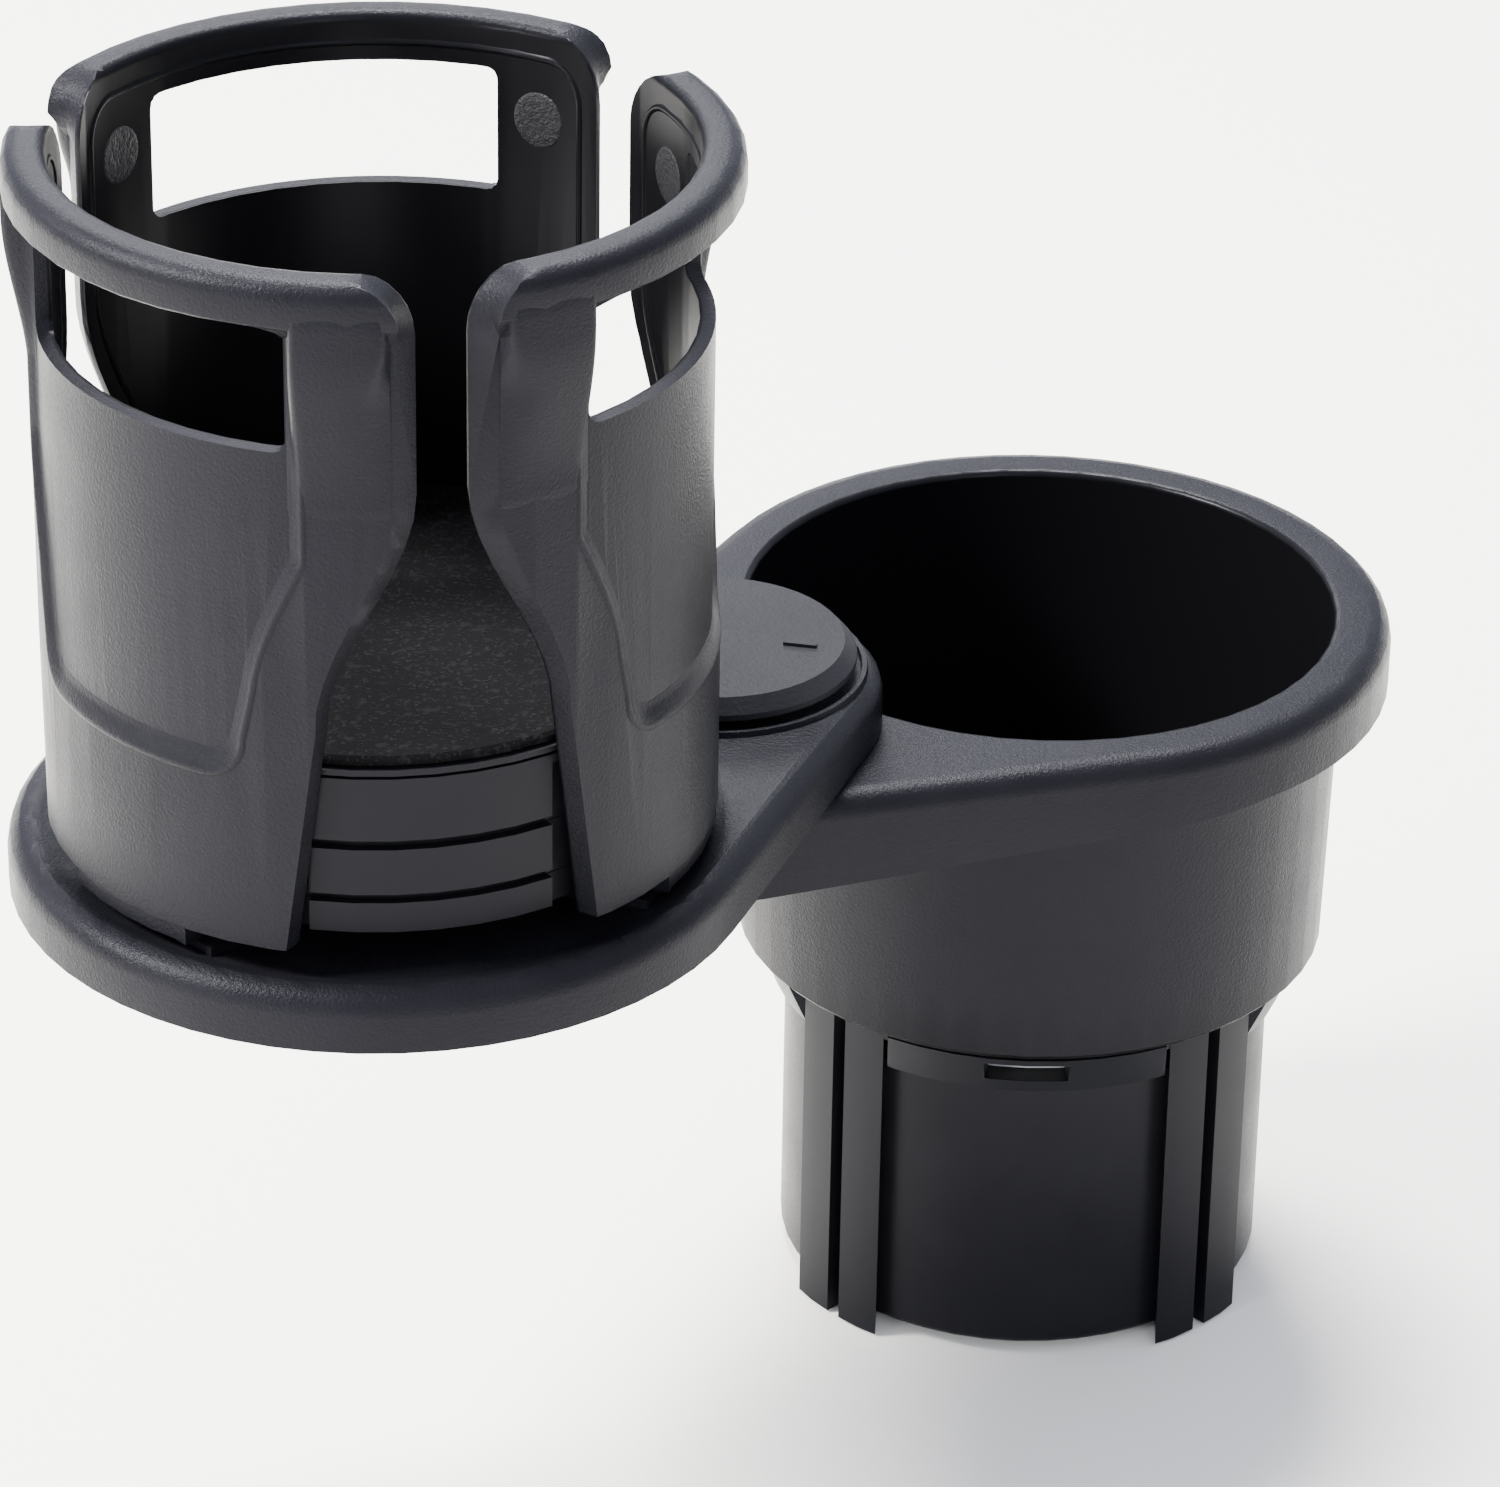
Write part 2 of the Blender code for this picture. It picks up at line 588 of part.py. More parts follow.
def make_jaw(index, parent):
    """One quarter of the base: ribs beside a sunk panel, and two tongues that slide in the core."""
    half = JAW_STEP / 2
    wall = [(JAW_INNER_RADIUS, 0), (RIB_RADIUS, 0), (RIB_RADIUS, TAB_TOP_Z), (JAW_INNER_RADIUS, TAB_TOP_Z)]
    shell = turned("jaw", wall, angle=2 * half, start=-half)
    beyond = RIB_RADIUS * 1.5
    for side in (-1, 1):
        place = Matrix.Rotation(side * half, 4, "Z")
        low_y, high_y = sorted((side * beyond, -side * JAW_SLIT / 2))
        shell = cut(shell, box((0, low_y, -beyond), (beyond, high_y, beyond), place))
    inside = 0.8 * JAW_INNER_RADIUS
    foot_centre = (PANEL_RADIUS - PANEL_FOOT_ROUND, PANEL_FOOT_Z + PANEL_FOOT_ROUND)
    air = [(inside, PANEL_FOOT_Z)] + arc(foot_centre, PANEL_FOOT_ROUND, -90, 0, 3)
    air += [(PANEL_RADIUS, JAW_TOP_Z), (inside, JAW_TOP_Z), (inside, 2 * TAB_TOP_Z), (beyond, 2 * TAB_TOP_Z)]
    air += [(beyond, -beyond), (inside, -beyond)]
    panel = turned("panel", air, angle=2 * half, start=-half)
    for side in (-1, 1):
        low_y, high_y = sorted((side * PANEL_HALF_WIDTH, side * beyond))
        panel = cut(panel, box((0, low_y, -2 * beyond), (2 * beyond, high_y, 3 * beyond)))
    shell = cut(shell, panel, rod(PANEL_RADIUS, JAW_TOP_Z, 2 * TAB_TOP_Z, sides=FINE_FACET_COUNT))
    # tongues, the upper one with the pin that follows the scroll
    half_width = TONGUE_WIDTH / 2
    into_wall = JAW_INNER_RADIUS + 0.4 * JAW_WALL
    inner = CORE_TUBE_RADIUS + GAP
    lower_foot = FOOT_PLATE_THICKNESS + GAP
    upper_foot = JAW_TOP_Z - TONGUE_THICKNESS
    upper = box((inner, -half_width, upper_foot), (into_wall, half_width, JAW_TOP_Z))
    lower = box((inner, -half_width, lower_foot), (into_wall, half_width, lower_foot + TONGUE_THICKNESS))
    web_start = into_wall - JAW_WEB_DEPTH
    web_top = JAW_TOP_Z - TONGUE_THICKNESS / 2
    web_foot = lower_foot + TONGUE_THICKNESS / 2
    web = box((web_start, -JAW_WEB / 2, web_foot), (into_wall, JAW_WEB / 2, web_top))
    pin = rod(JAW_PIN_RADIUS, upper_foot + GAP, SCROLL_TOP_Z - GAP, (JAW_PIN_REACH, 0), SMALL_FACET_COUNT)
    shell = joined(shell, web, upper, lower, pin)
    shell = moved(shell, Matrix.Rotation(jaw_angle(index), 4, "Z"))
    return finish(shell, f"jaw_{index + 1}", SATIN_BLACK, polar(PANEL_RADIUS, jaw_angle(index)), parent)


def foot_screw_places():
    step = 2 * math.pi / FOOT_SCREW_COUNT
    return [polar(FOOT_SCREW_REACH, step * (i + 0.5)) for i in range(FOOT_SCREW_COUNT)]


def foot_screw_hole(centre):
    return screw_hole(centre, FOOT_SCREW_Z, FOOT_SCREW_Z + FOOT_SCREW_LENGTH)


def make_base_core():
    """The deck with its four snap tabs, the tube to the foot, and the rails that guide the jaws."""
    core = turned(
        "core",
        [
            (0, DECK_TOP_Z),
            (DECK_RADIUS, DECK_TOP_Z),
            (DECK_RADIUS, DECK_Z),
            (CORE_TUBE_RADIUS, DECK_Z),
            (CORE_TUBE_RADIUS, FOOT_PLATE_THICKNESS + GAP),
            (0, FOOT_PLATE_THICKNESS + GAP),
        ],
    )
    tab_inner = TAB_INNER_RADIUS
    tab_outer = DECK_RADIUS + TAB_WALL
    lip_z = TAB_TOP_Z - TAB_LIP_THICKNESS
    tab_profile = [
        (tab_inner - RAIL_WALL, DECK_Z + LAP),
        (tab_outer, DECK_Z + LAP),
        (tab_outer + TAB_FLARE, TAB_TOP_Z),
        (tab_inner - TAB_LIP, TAB_TOP_Z),
        (tab_inner - TAB_LIP, lip_z),
        (tab_inner, lip_z),
        (tab_inner, DECK_TOP_Z - LAP),
        (tab_inner - RAIL_WALL, DECK_TOP_Z - LAP),
    ]
    tab_half = PANEL_HALF_WIDTH - TAB_SIDE_GAP
    window_half = TAB_WINDOW_HALF_ANGLE
    window_profile = [
        (tab_inner - GAP, SCROLL_FOOT_Z),
        (2 * tab_inner, SCROLL_FOOT_Z),
        (2 * tab_inner, lip_z),
        (tab_inner - GAP, lip_z),
    ]
    rail_inner = TONGUE_WIDTH / 2 + SLIDE_GAP
    rail_outer = rail_inner + RAIL_WALL
    rail_foot = JAW_TOP_Z - TONGUE_THICKNESS - SLIDE_GAP - RAIL_LIP_THICKNESS
    lip_top = rail_foot + RAIL_LIP_THICKNESS
    rail_start = rail_outer + GAP
    rail_end = math.sqrt(FOOT_RADIUS**2 - rail_outer**2)
    slot_end = JAW_PIN_REACH + JAW_TRAVEL
    slot_half = JAW_PIN_RADIUS + SLIDE_GAP
    for index in range(JAW_COUNT):
        angle = jaw_angle(index)
        place = turned_about(Vector(), angle)
        tab = turned("tab", tab_profile, angle=JAW_STEP, start=angle - JAW_STEP / 2)
        for side in (-1, 1):
            low_y, high_y = sorted((side * tab_half, side * 2 * tab_outer))
            tab = cut(tab, box((0, low_y, 0), (2 * tab_outer, high_y, 2 * TAB_TOP_Z), place))
        tab = cut(tab, turned("window", window_profile, angle=2 * window_half, start=angle - window_half))
        core = joined(core, tab)
        for side in (-1, 1):
            low_y, high_y = sorted((side * rail_inner, side * rail_outer))
            rail = box((rail_start, low_y, rail_foot + LAP), (rail_end, high_y, DECK_Z + GAP), place)
            low_y, high_y = sorted((side * (rail_inner - RAIL_LIP), side * (rail_inner + GAP)))
            lip = box((rail_start + LAP, low_y, rail_foot), (rail_end - LAP, high_y, lip_top), place)
            core = joined(core, rail, lip)
        core = cut(core, straight_slot(JAW_PIN_REACH, slot_end, slot_half, DECK_Z - GAP, SCROLL_FOOT_Z, place))
    for centre in foot_screw_places():
        core = cut(core, foot_screw_hole(centre))
    return finish(core, "base_core", DEEP_BLACK)


def make_foot_plate(parent):
    top = FOOT_PLATE_THICKNESS
    edge = SCREW_EDGE
    plate = turned("foot", [(0, top), (FOOT_RADIUS, top), (FOOT_RADIUS, edge), (FOOT_RADIUS - edge, 0), (0, 0)])
    for centre in foot_screw_places():
        plate = cut(plate, foot_screw_hole(centre))
    return finish(plate, "foot_plate", DEEP_BLACK, None, parent)


# Lower cup


def scroll_screw_places():
    step = 2 * math.pi / SCROLL_SCREW_COUNT
    return [polar(SCROLL_SCREW_REACH, step * (i + 0.5)) for i in range(SCROLL_SCREW_COUNT)]


def scroll_screw_hole(centre):
    return screw_hole(centre, SCROLL_SCREW_Z, SCROLL_SCREW_TIP_Z)


def make_scroll_plate(parent):
    """The face cam under the cup. Its four spiral slots push the jaws' pins outward as the cup turns."""
    plate = ring(SCROLL_BORE, SCROLL_RADIUS, SCROLL_FOOT_Z, SCROLL_TOP_Z)
    slot_half = JAW_PIN_RADIUS + SLIDE_GAP
    low = SCROLL_FOOT_Z - GAP
    high = SCROLL_TOP_Z + GAP
    for index in range(JAW_COUNT):
        start = jaw_angle(index)
        slot = spiral_slot(JAW_PIN_REACH, JAW_TRAVEL, JAW_TURN, start, slot_half, low, high, Vector())
        plate = cut(plate, slot)
    for centre in scroll_screw_places():
        plate = cut(plate, scroll_screw_hole(centre))
    return finish(plate, "scroll_plate", NYLON, None, parent)


def make_rim_plate():
    """The drop-shaped plate round the cup's mouth, with its skirt."""
    origin = Vector()
    deep = SKIRT_FOOT_Z - 2 * SKIRT_DEPTH
    plate = drop(origin, PLATE_BIG_RADIUS, PLATE_SMALL_RADIUS, deep, PLATE_TOP_Z, PLATE_EDGE_ROUND)
    inner_big = PLATE_BIG_RADIUS - SKIRT_WALL
    inner_small = PLATE_SMALL_RADIUS - SKIRT_WALL
    inner_round = PLATE_EDGE_ROUND - SKIRT_WALL / 2
    hollow = drop(origin, inner_big, inner_small, deep - SKIRT_DEPTH, PLATE_UNDERSIDE_Z, inner_round, 2)
    plate = cut(plate, hollow)
    # the skirt's foot is level round the cup and slopes down towards the pivot
    reach = 2 * (ARM_LENGTH + PLATE_SMALL_RADIUS)
    far_z = SKIRT_FOOT_Z - SKIRT_SLOPE * reach
    below = deep - 2 * SKIRT_DEPTH
    outline = [(-reach, SKIRT_FOOT_Z), (0, SKIRT_FOOT_Z), (reach, far_z), (reach, below), (-reach, below)]
    upright = Matrix.Rotation(ARM_ANGLE, 4, "Z") @ Matrix.Rotation(math.pi / 2, 4, "X")
    return cut(plate, extruded("foot_line", outline, -reach, reach, upright))


def make_lower_cup(parent):
    """Cup, rim plate with its skirt, pivot boss and the ring that the scroll plate is screwed to."""
    foot = CUP_UNDERSIDE_Z
    boss_inner = CUP_BOSS_RADIUS - CUP_BOSS_WIDTH
    plate_core = PLATE_TOP_Z - GAP
    wall = turned(
        "wall",
        [
            (0, plate_core),
            (CUP_NECK_RADIUS, plate_core),
            (CUP_NECK_RADIUS, SKIRT_FOOT_Z),
            (CUP_FOOT_RADIUS, foot + CUP_FOOT_ROUND),
            (CUP_FOOT_RADIUS - CUP_FOOT_ROUND, foot),
            (CUP_BOSS_RADIUS, foot),
            (CUP_BOSS_RADIUS, CUP_BOSS_Z),
            (boss_inner, CUP_BOSS_Z),
            (boss_inner, foot),
            (0, foot),
        ],
    )
    boss = rod(PIVOT_BOSS_RADIUS, PIVOT_BOSS_Z, plate_core, PIVOT, COARSE_FACET_COUNT)
    body = joined(make_rim_plate(), wall, boss)
    # inside: a slight taper, a fillet at the floor and a rounded mouth
    mouth = CUP_MOUTH_RADIUS + MOUTH_ROUND
    fillet_centre = (CUP_INNER_FOOT_RADIUS - CUP_FLOOR_FILLET, CUP_FLOOR_Z + CUP_FLOOR_FILLET)
    inside = [(0, 2 * PLATE_TOP_Z), (mouth, 2 * PLATE_TOP_Z), (mouth, PLATE_TOP_Z)]
    inside += arc((mouth, PLATE_TOP_Z - MOUTH_ROUND), MOUTH_ROUND, 120, 180, 2)
    inside += arc(fillet_centre, CUP_FLOOR_FILLET, 0, -90, 4) + [(0, CUP_FLOOR_Z)]
    body = cut(body, turned("inside", inside))
    # pivot bolt: bore and hexagon pocket
    bore = rod(BOLT_RADIUS + SLIDE_GAP, PIVOT_BOSS_Z - GAP, PLATE_TOP_Z + GAP, PIVOT)
    pocket_top = BOLT_HEAD_Z + BOLT_HEAD_HEIGHT + GAP
    pocket = rod(BOLT_HEAD_RADIUS + GAP, PIVOT_BOSS_Z - GAP, pocket_top, PIVOT, 6)
    body = cut(body, bore, pocket)
    for centre in scroll_screw_places():
        body = cut(body, scroll_screw_hole(centre))
    return finish(body, "lower_cup", SATIN_BLACK, None, parent)


def make_pivot_bolt(parent):
    tip = SCREW_EDGE
    shank = turned(
        "bolt",
        [
            (0, BOLT_TIP_Z),
            (BOLT_RADIUS - tip, BOLT_TIP_Z),
            (BOLT_RADIUS, BOLT_TIP_Z - tip),
            (BOLT_RADIUS, BOLT_HEAD_Z + GAP),
            (0, BOLT_HEAD_Z + GAP),
        ],
        BORE_FACET_COUNT,
        centre=PIVOT,
    )
    head = rod(BOLT_HEAD_RADIUS, BOLT_HEAD_Z, BOLT_HEAD_Z + BOLT_HEAD_HEIGHT, PIVOT, 6)
    return finish(joined(shank, head), "pivot_bolt", STEEL, PIVOT, parent)


def make_thrust_washer(parent):
    high = WASHER_FOOT_Z + THRUST_WASHER_THICKNESS
    washer = ring(BOLT_RADIUS + SLIDE_GAP, THRUST_WASHER_RADIUS, WASHER_FOOT_Z, high, PIVOT, COARSE_FACET_COUNT)
    return finish(washer, "thrust_washer", NYLON, PIVOT, parent)


# Tray


def leaf_angle(index):
    """Leaf 1 lies straight away from the pivot, and the others follow round the holder."""
    return TRAY_ANGLE + LEAF_STEP * index


def slot_angle(index):
    return leaf_angle(index) + LEAF_STEP / 2


def cover_screw_places():
    return [HOLDER + polar(COVER_SCREW_REACH, slot_angle(i)) for i in range(LEAF_COUNT)]


def hub_screw_places():
    return [HOLDER + polar(HUB_SCREW_REACH, slot_angle(i)) for i in range(LEAF_COUNT)]


def hub_screw_hole(centre):
    return screw_hole(centre, HUB_SCREW_Z, HUB_SCREW_Z + HUB_SCREW_LENGTH)


def cover_screw_hole(centre):
    return screw_hole(centre, COVER_SCREW_Z, COVER_SCREW_TIP_Z)


def make_tray(parent):
    """A drop-shaped pan turned upside down: crowned rim, skirt, dish with tracks for the leaves' feet. Below it
    are the spigot for the cam ring and the boss that turns on the pivot bolt."""
    tray = drop(HOLDER, TRAY_BIG_RADIUS, TRAY_SMALL_RADIUS, TRAY_FOOT_Z, TRAY_TOP_Z, TRAY_EDGE_ROUND)
    inner_big = TRAY_BIG_RADIUS - TRAY_WALL
    inner_small = TRAY_SMALL_RADIUS - TRAY_WALL
    tray = cut(tray, drop(HOLDER, inner_big, inner_small, TRAY_FOOT_Z - GAP, TRAY_CEILING_Z))
    dish_top = TRAY_TOP_Z + GAP
    crown_end = (2 * DISH_RADIUS + DISH_FLOOR_RADIUS) / 3
    dish = [(0, dish_top), (DISH_RADIUS + GAP, dish_top), (DISH_RADIUS, TRAY_TOP_Z)]
    dish += [(crown_end, TRAY_TOP_Z - 0.28 * DISH_DEPTH)]
    dish += [(DISH_FLOOR_RADIUS, DISH_FLOOR_Z), (0, DISH_FLOOR_Z)]
    tray = cut(tray, turned("dish", dish, centre=HOLDER))
    into_floor = TRAY_CEILING_Z + GAP
    boss = rod(TRAY_BOSS_RADIUS, TRAY_BOSS_Z, into_floor, PIVOT, COARSE_FACET_COUNT)
    spigot = rod(SPIGOT_RADIUS, CAM_Z, into_floor, HOLDER, COARSE_FACET_COUNT)
    tray = joined(tray, boss, spigot)
    for centre in cover_screw_places():
        tray = joined(tray, rod(COVER_BOSS_RADIUS, COVER_TOP_Z + GAP, into_floor, centre, SMALL_FACET_COUNT))
    ring_inner = KNOB_RADIUS + KNOB_RING_WIDTH / 2
    ring_profile = [
        (ring_inner, TRAY_TOP_Z - GAP),
        (ring_inner + KNOB_RING_WIDTH, TRAY_TOP_Z - GAP),
        (ring_inner + KNOB_RING_WIDTH * 0.8, TRAY_TOP_Z + KNOB_RING_HEIGHT),
        (ring_inner + KNOB_RING_WIDTH * 0.2, TRAY_TOP_Z + KNOB_RING_HEIGHT),
    ]
    tray = joined(tray, turned("ring", ring_profile, centre=PIVOT))
    half_foot = LEAF_FOOT_WIDTH / 2 + SLIDE_GAP
    half_track = half_foot + TRACK_WALL
    wall_top = FOOT_Z + LEAF_FOOT_THICKNESS * 0.6
    wall_start = half_track / math.tan(LEAF_STEP / 2) + 2 * TRACK_WALL
    wall_end = HUB_RADIUS - HUB_WALL
    track_start = HUB_COLUMN_RADIUS + TRACK_WALL
    track_end = DISH_FLOOR_RADIUS - TRACK_WALL
    slot_half = LEAF_PIN_RADIUS + SLIDE_GAP
    slot_end = LEAF_PIN_REACH + LEAF_TRAVEL
    slot_foot = TRAY_CEILING_Z - GAP
    for index in range(LEAF_COUNT):
        place = turned_about(HOLDER, leaf_angle(index))
        track_low = (track_start, LAP - half_track, DISH_FLOOR_Z - GAP)
        tray = joined(tray, box(track_low, (track_end, half_track - LAP, TRAY_TOP_Z), place))
        for side in (-1, 1):
            low_y, high_y = sorted((side * half_foot, side * half_track))
            wall = box((wall_start, low_y, DISH_FLOOR_Z - GAP), (wall_end, high_y, wall_top), place)
            tray = joined(tray, wall)
        tray = cut(tray, straight_slot(LEAF_PIN_REACH, slot_end, slot_half, slot_foot, FOOT_Z, place))
    tray = cut(tray, rod(KNOB_SEAT_RADIUS, KNOB_SEAT_Z, FOOT_Z, PIVOT, COARSE_FACET_COUNT))
    tray = cut(tray, rod(BOLT_RADIUS + SLIDE_GAP, TRAY_FOOT_Z, TRAY_TOP_Z, PIVOT))
    for centre in cover_screw_places():
        tray = cut(tray, cover_screw_hole(centre))
    for centre in hub_screw_places():
        tray = cut(tray, hub_screw_hole(centre))
    return finish(tray, "tray", SATIN_BLACK, PIVOT, parent)


def make_tray_cover(parent):
    inner_big = TRAY_BIG_RADIUS - TRAY_WALL - GAP
    inner_small = TRAY_SMALL_RADIUS - TRAY_WALL - GAP
    cover = drop(HOLDER, inner_big, inner_small, COVER_Z, COVER_TOP_Z)
    cover = cut(cover, rod(TRAY_BOSS_RADIUS + GAP, COVER_Z - GAP, COVER_TOP_Z + GAP, PIVOT, COARSE_FACET_COUNT))
    for centre in cover_screw_places():
        cover = cut(cover, cover_screw_hole(centre))
    return finish(cover, "tray_cover", DEEP_BLACK, PIVOT, parent)


def make_cam_ring(parent):
    """Keeps the leaves in step: three spiral slots round the tray's spigot."""
    cam = ring(CAM_INNER_RADIUS, CAM_OUTER_RADIUS, CAM_Z, CAM_TOP_Z, HOLDER)
    slot_half = LEAF_PIN_RADIUS + SLIDE_GAP
    low = CAM_Z - GAP
    high = CAM_TOP_Z + GAP
    for index in range(LEAF_COUNT):
        start = leaf_angle(index)
        slot = spiral_slot(LEAF_PIN_REACH, LEAF_TRAVEL, CAM_TURN, start, slot_half, low, high, HOLDER)
        cam = cut(cam, slot)
    return finish(cam, "cam_ring", NYLON, HOLDER, parent)


# Upper holder


def wrapped(name, outline, layers):
    """A solid whose outline is wrapped round the leaves' axis. An outline's point is the distance round the
    leaf's outer face, the height and the share of a layer's growth that the point takes. A layer is a radius
    and how far the outline grows there."""
    dense = []
    longest = 3.5 * MM
    for start, end in zip(outline, outline[1:] + outline[:1]):
        pieces = max(1, math.ceil(abs(end[0] - start[0]) / longest))
        for i in range(pieces):
            dense.append(tuple(a + (b - a) * i / pieces for a, b in zip(start, end)))
    bm = bmesh.new()
    rings = []
    for radius, growth in layers:
        ring_verts = []
        for i, (y, z, share) in enumerate(dense):
            before = dense[i - 1]
            after = dense[(i + 1) % len(dense)]
            outward = Vector((after[1] - before[1], before[0] - after[0])).normalized() * growth * share
            ring_verts.append(bm.verts.new(polar(radius, (y + outward.x) / LEAF_OUTER_RADIUS, z + outward.y)))
        rings.append(ring_verts)
    for lower, upper in zip(rings, rings[1:]):
        for i in range(len(lower)):
            j = (i + 1) % len(lower)
            bm.faces.new((lower[i], lower[j], upper[j], upper[i]))
    bm.faces.new(rings[0])
    bm.faces.new(rings[-1])
    return bmesh_object(name, bm)


def mirrored(right):
    """A whole outline from its right side, which runs upwards."""
    return right + [(-y, z, share) for y, z, share in reversed(right)]


def leaf_slot():
    """The bottle-shaped air between two leaves: narrow between the upper posts and wide at the foot. It spreads
    at the outer face, which bevels the leaves' edges, and rounds the upper corners of their rails."""
    corner_z = LEAF_TOP_Z - LEAF_CORNER_ROUND
    foot = SLOT_FOOT_HALF_WIDTH
    knee = SLOT_KNEE_HALF_WIDTH
    neck = SLOT_HALF_WIDTH
    slope = (foot - knee) / (SLOT_KNEE_Z - LEAF_FOOT_Z)
    below = 5 * MM
    right = [(foot + slope * below, LEAF_FOOT_Z - below, EDGE_FADE), (knee, SLOT_KNEE_Z, EDGE_FADE)]
    steps = 9
    for i in range(1, steps + 1):
        part = i / steps
        ease = part * part * (3 - 2 * part)
        share = EDGE_FADE + (1 - EDGE_FADE) * part
        right.append((knee + (neck - knee) * ease, SLOT_KNEE_Z + (SLOT_NECK_Z - SLOT_KNEE_Z) * part, share))
    corner = arc((neck + LEAF_CORNER_ROUND, corner_z), LEAF_CORNER_ROUND, 180, 90, 7)
    right += [(y, z, (LEAF_TOP_Z - z) / LEAF_CORNER_ROUND) for y, z in corner]
    right.append((neck + LEAF_CORNER_ROUND, LEAF_TOP_Z + below, 0))
    inside = LEAF_INNER_RADIUS * 0.6
    land = LEAF_INNER_RADIUS + EDGE_LAND
    outside = RAIL_RADIUS * 1.2
    layers = [(inside, 0), (land, 0), (LEAF_OUTER_RADIUS, EDGE_BEVEL), (outside, EDGE_BEVEL)]
    return wrapped("slot", mirrored(right), layers)


def window_cutter():
    half = WINDOW_HALF_WIDTH - WINDOW_ROUND
    low = arc((half, WINDOW_FOOT_Z + WINDOW_ROUND), WINDOW_ROUND, -90, 0, 3)
    high = arc((half, RAIL_FOOT_Z - WINDOW_ROUND), WINDOW_ROUND, 0, 90, 3)
    right = [(y, z, 0) for y, z in low + high]
    return wrapped("window", mirrored(right), [(LEAF_INNER_RADIUS * 0.6, 0), (RAIL_RADIUS * 1.5, 0)])


def sunk_field_cutter():
    """The shallow field below the window, with sloping sides. It also eases the edges beside the window."""
    corner_centre = (SUNK_FOOT_HALF_WIDTH - SUNK_CORNER_ROUND, SUNK_FOOT_Z + SUNK_CORNER_ROUND)
    steps = 4
    corner = arc(corner_centre, SUNK_CORNER_ROUND, -90, -12, steps)
    right = [(y, z, 2 - i / steps) for i, (y, z) in enumerate(corner)]
    rise = SUNK_SHOULDER_Z - SUNK_WAIST_Z
    spread = SUNK_HALF_WIDTH - SUNK_WAIST_HALF_WIDTH
    steps = 5
    for i in range(steps + 1):
        part = i / steps
        right.append((SUNK_WAIST_HALF_WIDTH + spread * part**SUNK_BOW, SUNK_WAIST_Z + rise * part, 1))
    right.append((SUNK_HALF_WIDTH, RAIL_FOOT_Z - WINDOW_ROUND, 1))
    floor = LEAF_OUTER_RADIUS - PANEL_SINK
    proud = LEAF_OUTER_RADIUS + PANEL_SINK
    grown = 2 * PANEL_SLOPE
    layers = [(floor - PANEL_SINK, 0), (floor, 0), (proud, grown), (RAIL_RADIUS * 1.5, grown)]
    prism = wrapped("field", mirrored(right), layers)
    return cut(prism, rod(floor, SUNK_FOOT_Z - RAIL_HEIGHT, LEAF_TOP_Z, sides=2 * FINE_FACET_COUNT))


def make_leaf(index, parent):
    """A curved wall with a window under its rail, a sunk field, bevelled edges and a foot that slides in the
    tray, with the pin that follows the cam ring."""
    outer_centre = (RAIL_RADIUS - RAIL_OUTER_ROUND, LEAF_TOP_Z - RAIL_OUTER_ROUND)
    inner_centre = (LEAF_INNER_RADIUS + RAIL_INNER_ROUND, LEAF_TOP_Z - RAIL_INNER_ROUND)
    edge = RAIL_OUTER_ROUND / 3
    profile = [(LEAF_INNER_RADIUS, LEAF_FOOT_Z), (LEAF_OUTER_RADIUS, LEAF_FOOT_Z)]
    profile += [(LEAF_OUTER_RADIUS, RAIL_FOOT_Z - RAIL_SLOPE), (RAIL_RADIUS - edge, RAIL_FOOT_Z + GAP)]
    profile += [(RAIL_RADIUS, RAIL_FOOT_Z + GAP + edge)]
    profile += arc(outer_centre, RAIL_OUTER_ROUND, 0, 90, 4)
    profile += arc(inner_centre, RAIL_INNER_ROUND, 90, 180, 3)
    leaf = turned("leaf", profile, angle=LEAF_STEP, start=-LEAF_STEP / 2)
    leaf = cut(leaf, sunk_field_cutter(), window_cutter())
    for side in (-1, 1):
        leaf = cut(leaf, moved(leaf_slot(), Matrix.Rotation(side * LEAF_STEP / 2, 4, "Z")))
    half_foot = LEAF_FOOT_WIDTH / 2
    foot_end = LEAF_OUTER_RADIUS - LEAF_WALL / 2
    foot = box((LEAF_FOOT_INNER, -half_foot, FOOT_Z), (foot_end, half_foot, FOOT_TOP_Z))
    foot_angle = half_foot / LEAF_OUTER_RADIUS
    riser_profile = [
        (LEAF_INNER_RADIUS + GAP, FOOT_Z + GAP),
        (LEAF_OUTER_RADIUS - GAP, FOOT_Z + GAP),
        (LEAF_OUTER_RADIUS - GAP, LEAF_FOOT_Z + LEAF_FOOT_THICKNESS),
        (LEAF_INNER_RADIUS + GAP, LEAF_FOOT_Z + LEAF_FOOT_THICKNESS),
    ]
    riser = turned("riser", riser_profile, angle=2 * foot_angle, start=-foot_angle)
    pin = rod(LEAF_PIN_RADIUS, CAM_Z + GAP, FOOT_Z + GAP, (LEAF_PIN_REACH, 0), SMALL_FACET_COUNT)
    leaf = joined(leaf, riser, foot, pin)
    leaf = moved(leaf, turned_about(HOLDER, leaf_angle(index)))
    return finish(leaf, f"leaf_{index + 1}", SATIN_BLACK, HOLDER, parent)


